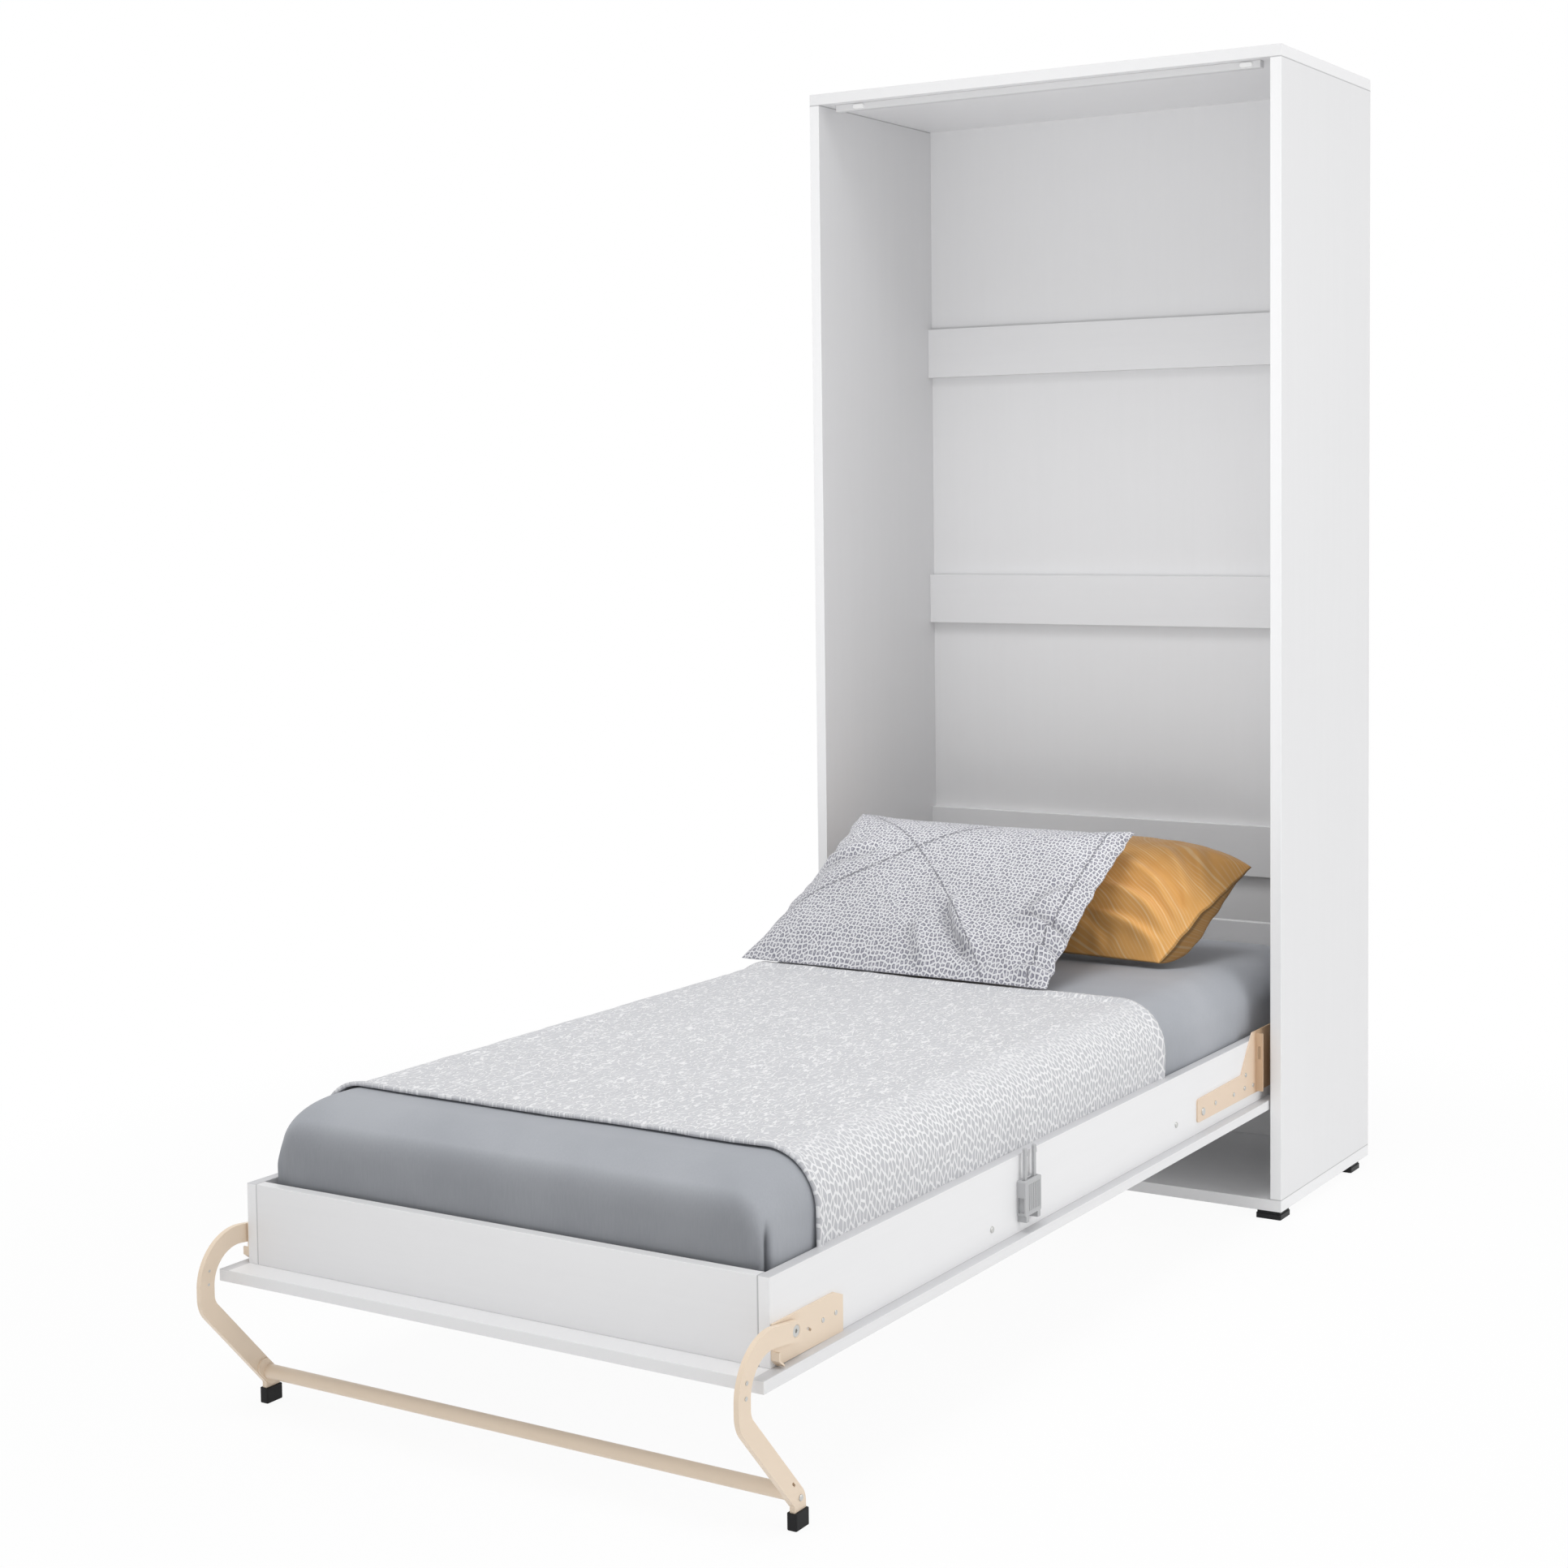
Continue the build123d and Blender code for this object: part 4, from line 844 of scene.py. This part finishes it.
def buildPillow(name, look, material):
    # the case swells, is held near its cut size, gets its folds and gathers, and is laid on the bed
    piece = pillowCase(name, look["width"], look["height"], look["step"], material)
    start = pointsOf(piece.data)
    u, v = start[:, 0] / look["width"] * 2, start[:, 1] / look["height"] * 2
    local = inflate(piece, look["pressure"], look["stiff"])
    # no fuller than its filling: z becomes limit x tanh(1.15 z / limit), and the outline is drawn back
    # to the cut by hold, most at the foot edge
    limit = look["thick"] / 2
    print(name, "swelled to", round(float(np.abs(local[:, 2]).max() * 2), 4), "m")
    local[:, 2] *= min(1.0, limit / max(np.abs(local[:, 2]).max(), 1e-6))
    local[:, 2] = limit * np.tanh(local[:, 2] / limit * 1.15)
    hold = (look["hold"] + (0.97 - look["hold"]) * smooth(-0.7, -1.0, v))[:, None]
    local[:, :2] = local[:, :2] * (1 - hold) + start[:, :2] * hold
    side = np.where(local[:, 2] >= 0, 1, -1)
    rim = np.minimum(1 + u if look["openEnd"] else 1 - np.abs(u), 1 - np.abs(v))
    rise, valley = foldsOf(start, look["folds"])
    local[:, 2] += rise * (side > 0) * smooth(0.0, 0.08, rim)
    # gathers run in from both ends and fade: waves along the seam times e^(-distance / 50 mm); the
    # end's outline runs in and out with them
    away = (1 - np.abs(u)) * look["width"] / 2
    pucker = waves(np.stack([start[:, 1], start[:, 0] * 0.25], -1), 0.045, 21)
    local[:, 2] += side * look["gather"] * pucker * np.exp(-away / 0.05) * smooth(0.0, 0.03, away)
    local[:, 0] += np.sign(u) * look["scallop"] * pucker * np.exp(-away / 0.02)
    # the fold bottoms and the gathers' hollows are kept as crease, for the finish to darken as painted shade
    gathered = 0.5 * np.clip(-pucker, 0, 1) * np.exp(-away / 0.05) * look["gather"] / 0.006
    keepCrease(piece, valley * (side > 0) + gathered)
    # the back stands out past the seam at both ends, most in the lower half: x/w * e^(1 - x/w) of the
    # distance x from the seam
    far = away / 0.022
    fuller = np.clip(1 - v, 0, 2) ** 1.6 * np.clip(1 + v, 0, 2) ** 0.5 / 1.354
    local[:, 0] += np.sign(u) * look["endBulge"] * far * np.exp(1 - far) * (start[:, 2] < 0) * fuller
    piece.data.vertices.foreach_set("co", layPillow(local, look).astype(np.float32).ravel())
    piece.data.update()
    finer = piece.modifiers.new("finer", "SUBSURF")
    finer.levels = finer.render_levels = 1
    return piece


# corners are the places of the case's four corners: top left, top right, low right, low left; a fold is
# its two ends on the case, its height and its half width
netPillow = {
    "width": 0.68, "height": 0.43, "thick": 0.11, "step": 0.0066, "pressure": 4.0, "stiff": 12.0,
    "hold": 0.75, "front": 1.0, "back": 1.0, "press": 0.003, "arch": 0.0,
    "openEnd": True, "endBulge": 0.0, "gather": 0.003, "scallop": 0.004,
    "corners": [(-0.380, depth(-45), 0.737), (0.232, depth(-25), 0.732),
                (0.231, depth(-414), 0.486), (-0.436, depth(-411), 0.486)],
    "folds": [((0.06, -0.04), (0.19, -0.18), 0.018, 0.010), ((0.35, -0.105), (0.20, -0.085), 0.016, 0.009),
              ((0.35, -0.150), (0.25, -0.135), 0.011, 0.008), ((0.35, -0.185), (0.26, -0.19), 0.010, 0.008),
              ((0.02, -0.10), (0.08, -0.20), 0.008, 0.012), ((-0.34, 0.05), (-0.18, 0.10), 0.008, 0.014),
              ((0.30, 0.02), (0.24, -0.07), 0.007, 0.012)],
}
ochrePillow = {
    "width": 0.70, "height": 0.30, "thick": 0.17, "step": 0.0065, "pressure": 5.0, "stiff": 12.0,
    "hold": 0.80, "front": 1.12, "back": 0.85, "press": 0.004, "arch": 0.058,
    "openEnd": False, "endBulge": 0.046, "gather": 0.004, "scallop": 0.002,
    "corners": [(-0.300, depth(112), 0.656), (0.426, depth(98), 0.656),
                (0.305, depth(-92), 0.488), (-0.310, depth(-70), 0.488)],
    "folds": [((0.345, -0.02), (0.20, 0.09), 0.010, 0.010), ((0.345, -0.055), (0.16, 0.03), 0.011, 0.010),
              ((0.345, -0.09), (0.15, -0.03), 0.011, 0.010), ((0.34, -0.125), (0.13, -0.09), 0.009, 0.010),
              ((0.33, 0.03), (0.25, 0.12), 0.007, 0.010), ((0.22, -0.145), (0.10, -0.10), 0.006, 0.011)],
}
netLook = {
    "ground": (0.28, 0.28, 0.33), "core": (0.50, 0.50, 0.55), "thread": (0.84, 0.84, 0.87), "cell": 8.8,
    # stitching: its colour, the hem's distance from the closed end, and the two crossed rows, each with
    # level, slope, curve and width
    "seam": (0.20, 0.20, 0.23), "seamShare": 0.85, "hem": 0.635,
    "rows": ((0.43, -0.35, -0.80, 0.0022), (0.085, 0.87, 0.0, 0.0050)),
    "slowShade": 0.06, "lowShade": 0.10, "creaseShade": 0.25,
}


def rowMask(tree, parts, level, slope, curve, wide):
    # 1 on the row y = level + slope x + curve x^2 of the flat cloth, 0 further off it than wide
    bent = calc(tree, "MULTIPLY_ADD", parts[0], curve, slope)
    path = calc(tree, "MULTIPLY_ADD", parts[0], bent, level)
    return nearTo(tree, parts[1], path, wide * 0.6, wide * 1.2)


def netFinish():
    # white threads round small cells, two crossed rows of stitching and a hem by the open end
    made, tree, shader = newMaterial("pillowNet", Sheen_Weight=0.15, Specular_IOR_Level=0.25)
    flat = clothPlace(tree)
    parts = partsOf(tree, flat)
    net = fillGroup(tree, cellNet, {"Vector": flat, "Cell": netLook["cell"], "Thread": 0.12, "Loose": 0.75})
    cloud = fillGroup(tree, mottle, {"Vector": flat, "Slow": 8.0, "Fine": 900.0})
    inside = mixColour(tree, net["Core"], netLook["ground"], netLook["core"])
    colour = mixColour(tree, net["Thread"], inside, netLook["thread"])
    stitch = nearTo(tree, parts[0], netLook["hem"], 0.0014, 0.0028)
    for row in netLook["rows"]:
        stitch = calc(tree, "MAXIMUM", stitch, rowMask(tree, parts, *row))
    dash = remap(tree, noise(tree, flat, 170, 0.0), 0.42, 0.50)
    stitched = calc(tree, "MULTIPLY", calc(tree, "MULTIPLY", stitch, dash), netLook["seamShare"])
    colour = mixColour(tree, stitched, colour, netLook["seam"])
    # a slow cloud, the lower part a little darker, and painted shade in the folds' bottoms
    for share, depthOf in ((remap(tree, cloud["Slow"], 0.3, 0.7, 1.0, 0.0), netLook["slowShade"]),
                           (remap(tree, parts[1], 0.16, 0.36, 1.0, 0.0), netLook["lowShade"]),
                           (creaseOf(tree), netLook["creaseShade"])):
        colour = darkened(tree, colour, share, depthOf)
    height = calc(tree, "SUBTRACT", net["Thread"], calc(tree, "MULTIPLY", stitch, 2.2))
    finishSurface(tree, shader, colour, remap(tree, cloud["Fine"], 0.3, 0.7, 0.74, 0.88), height, 0.0009, 0.7)
    return made


ochreLook = {
    "ground": (0.80, 0.43, 0.138), "deep": (0.745, 0.385, 0.112), "line": (0.86, 0.60, 0.32),
    # lines a metre, how many lines apart the bright ones are, how far the clouds bend them in lines,
    # their slant over the cloth, and how strong the fine ones and all of them are
    "lines": 132, "boldEvery": 5, "bend": 17.0, "slant": 0.55, "fineShare": 0.5, "lineShare": 0.75,
    "seamShade": 0.45, "endShade": 0.72, "topShade": 0.44, "creaseShade": 0.08,
}


def ochreFinish():
    # fine pale lines that run along the pillow in long waves: each is where the height across the cloth,
    # bent by slow clouds, nears a whole number of spacings; every few lines one is brighter
    made, tree, shader = newMaterial("pillowOchre", Sheen_Weight=0.2, Specular_IOR_Level=0.25)
    flat = clothPlace(tree)
    parts = partsOf(tree, flat)
    slanted = calc(tree, "MULTIPLY_ADD", parts[0], ochreLook["slant"], parts[1])
    straight = calc(tree, "MULTIPLY", slanted, ochreLook["lines"])
    bend = noise(tree, stretched(tree, flat, (0.6, 1.0, 1.0)), 6.5, 1.0, 0.4, 0.3)
    level = calc(tree, "MULTIPLY_ADD", bend, ochreLook["bend"], straight)
    fineLine = nearTo(tree, calc(tree, "FRACT", level), 0.5, 0.06, 0.22)
    coarse = calc(tree, "FRACT", calc(tree, "MULTIPLY", level, 1 / ochreLook["boldEvery"]))
    bold = nearTo(tree, coarse, 0.5, 0.02, 0.06)
    line = calc(tree, "MAXIMUM", bold, calc(tree, "MULTIPLY", fineLine, ochreLook["fineShare"]))
    fade = remap(tree, noise(tree, flat, 16, 2.0), 0.26, 0.52)
    share = calc(tree, "MULTIPLY", calc(tree, "MULTIPLY", line, fade), ochreLook["lineShare"])
    cloud = fillGroup(tree, mottle, {"Vector": flat, "Slow": 14.0, "Fine": 900.0})
    ground = mixColour(tree, cloud["Slow"], ochreLook["deep"], ochreLook["ground"])
    colour = mixColour(tree, share, ground, ochreLook["line"])
    # the seam is where either sheet's map nears its rim; the back sheet's map lies beside the front's
    width, height = ochrePillow["width"], ochrePillow["height"]
    onBack = calc(tree, "GREATER_THAN", parts[0], width + backApart / 2)
    x = calc(tree, "MULTIPLY_ADD", onBack, -(width + backApart), parts[0])
    nearEnd = calc(tree, "MINIMUM", x, calc(tree, "SUBTRACT", width, x))
    nearSide = calc(tree, "MINIMUM", parts[1], calc(tree, "SUBTRACT", height, parts[1]))
    seam = remap(tree, calc(tree, "MINIMUM", nearEnd, nearSide), 0.0015, 0.0035, 1.0, 0.0)
    # painted shade: the back sheet, which stands at the ends in shade, and the top of the front one are made
    # darker than the crown, and the folds' bottoms darker too
    high = calc(tree, "SUBTRACT", remap(tree, parts[1], height * 0.5, height * 0.8), onBack)
    for share, depthOf in ((seam, ochreLook["seamShade"]), (onBack, ochreLook["endShade"]),
                           (calc(tree, "MAXIMUM", high, 0.0), ochreLook["topShade"]),
                           (creaseOf(tree), ochreLook["creaseShade"])):
        colour = darkened(tree, colour, share, depthOf)
    fine = fillGroup(tree, weave, {"Vector": flat, "Count": 1100.0})["Height"]
    fine = calc(tree, "MULTIPLY_ADD", seam, -3.0, fine)
    finishSurface(tree, shader, colour, remap(tree, cloud["Fine"], 0.3, 0.7, 0.70, 0.84), fine, 0.00025, 0.4)
    return made


for name, look, finish, node, slotName, fill in (
        ("pillowPatterned", netPillow, netFinish(), "pillow_patterned", "pillow_net", 0.55),
        ("pillowOchre", ochrePillow, ochreFinish(), "pillow_ochre", "pillow_ochre_cloth", 0.7)):
    piece = buildPillow(name, look, finish)
    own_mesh(piece)
    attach(piece, "bed_box")
    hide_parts(node)
    print(name, "ready")


# floor, light and camera
floorLook = {"radius": 14.0, "under": 0.0004, "sides": 96, "colour": (0.86, 0.86, 0.86, 1), "lit": 0.26,
             "glowNear": 0.93, "nearEnd": 1.2, "farFrom": 2.4}


def buildFloor():
    # a round sheet of floor, white to the eye from far on and keeping a pale shadow near the bed; lit is
    # the share of that white which it gives as light
    made, tree, shader = newMaterial("paleFloor", Roughness=0.9)
    shader.inputs["Base Color"].default_value = floorLook["colour"]
    seen = calc(tree, "MAXIMUM", seenStraight(tree), floorLook["lit"])
    far = put(tree, "ShaderNodeVectorMath", {0: objectPlace(tree)}, operation="LENGTH").outputs["Value"]
    clear = remap(tree, far, floorLook["nearEnd"], floorLook["farFrom"], floorLook["glowNear"], 1.0)
    glow = put(tree, "ShaderNodeEmission", {"Color": (1, 1, 1, 1), "Strength": 1.0})
    soft = put(tree, "ShaderNodeMixShader", {0: calc(tree, "MULTIPLY", seen, clear)})
    tree.links.new(shader.outputs[0], soft.inputs[1])
    tree.links.new(glow.outputs[0], soft.inputs[2])
    tree.links.new(soft.outputs[0], tree.nodes["Material Output"].inputs["Surface"])
    angle = np.linspace(0, 2 * math.pi, floorLook["sides"] + 1)[:-1]
    radius = floorLook["radius"]
    ring = np.stack([radius * np.cos(angle), radius * np.sin(angle), angle * 0 - floorLook["under"]], -1)
    newPiece("floorSheet", ring, np.arange(len(angle))[None], made)


# a lamp is its place, what it points at, its two sides, its power in watts and its spread in degrees
lights = {"room": 0.67, "lamps": {
    "keyRight": ((4.6, 0.5, 2.0), (0, 0.0, 0.8), (2.4, 2.4), 49, 180),
    "overBed": ((0.4, -1.6, 4.6), (0, -0.2, 0.5), (2.6, 1.6), 15.0, 72),
    "frontHigh": ((0.3, -3.2, 0.35), (0, 1.0, 2.1), (1.0, 1.0), 3.1, 48),
    "frontLow": ((0.2, -3.2, 0.5), (0, -1.0, 0.3), (2.4, 1.2), 2.3, 180),
}}


def buildLight():
    # an even room, white where it is seen straight, and soft square lamps
    world = bpy.data.worlds.new("room")
    bpy.context.scene.world = world
    world.use_nodes = True
    tree = world.node_tree
    tree.nodes.clear()
    dim = put(tree, "ShaderNodeBackground", {"Color": (1, 1, 1, 1), "Strength": lights["room"]})
    full = put(tree, "ShaderNodeBackground", {"Color": (1, 1, 1, 1), "Strength": 1.0})
    both = put(tree, "ShaderNodeMixShader", {0: seenStraight(tree)})
    tree.links.new(dim.outputs[0], both.inputs[1])
    tree.links.new(full.outputs[0], both.inputs[2])
    tree.links.new(both.outputs[0], put(tree, "ShaderNodeOutputWorld").inputs["Surface"])
    for name, (place, target, size, power, spread) in lights["lamps"].items():
        data = bpy.data.lights.new(name, "AREA")
        data.shape, data.size, data.size_y, data.energy = "RECTANGLE", size[0], size[1], power
        data.spread = math.radians(spread)
        lamp = bpy.data.objects.new(name, data)
        bpy.context.scene.collection.objects.link(lamp)
        lamp.location = place
        lamp.rotation_euler = (Vector(target) - Vector(place)).to_track_quat("-Z", "Y").to_euler()


view = {"place": (2.24836, depth(-4353.77), 1.36489), "yaw": 0.54004, "pitch": -0.06240, "roll": -0.00996,
        "lens": 56.91, "shift": (-0.0606, -0.0797)}


def buildCamera():
    # looks along yaw from +Y towards -X, then tips by pitch and turns by roll
    sy, cy = math.sin(view["yaw"]), math.cos(view["yaw"])
    ahead, right, up = Vector((-sy, cy, 0)), Vector((cy, sy, 0)), Vector((0, 0, 1))
    cp, sp = math.cos(view["pitch"]), math.sin(view["pitch"])
    ahead, up = ahead * cp + up * sp, up * cp - ahead * sp
    cr, sr = math.cos(view["roll"]), math.sin(view["roll"])
    right, up = right * cr + up * sr, up * cr - right * sr
    data = bpy.data.cameras.new("camera")
    data.lens, data.sensor_width = view["lens"], 36
    data.shift_x, data.shift_y = view["shift"]
    data.clip_end = 100
    camera = bpy.data.objects.new("camera", data)
    bpy.context.scene.collection.objects.link(camera)
    turn = Matrix((right, up, -ahead)).transposed().to_4x4()
    turn.translation = Vector(view["place"])
    camera.matrix_world = turn
    bpy.context.scene.camera = camera


buildFloor()
buildLight()
buildCamera()
bpy.context.scene.view_settings.view_transform = "Standard"
print("scene ready")
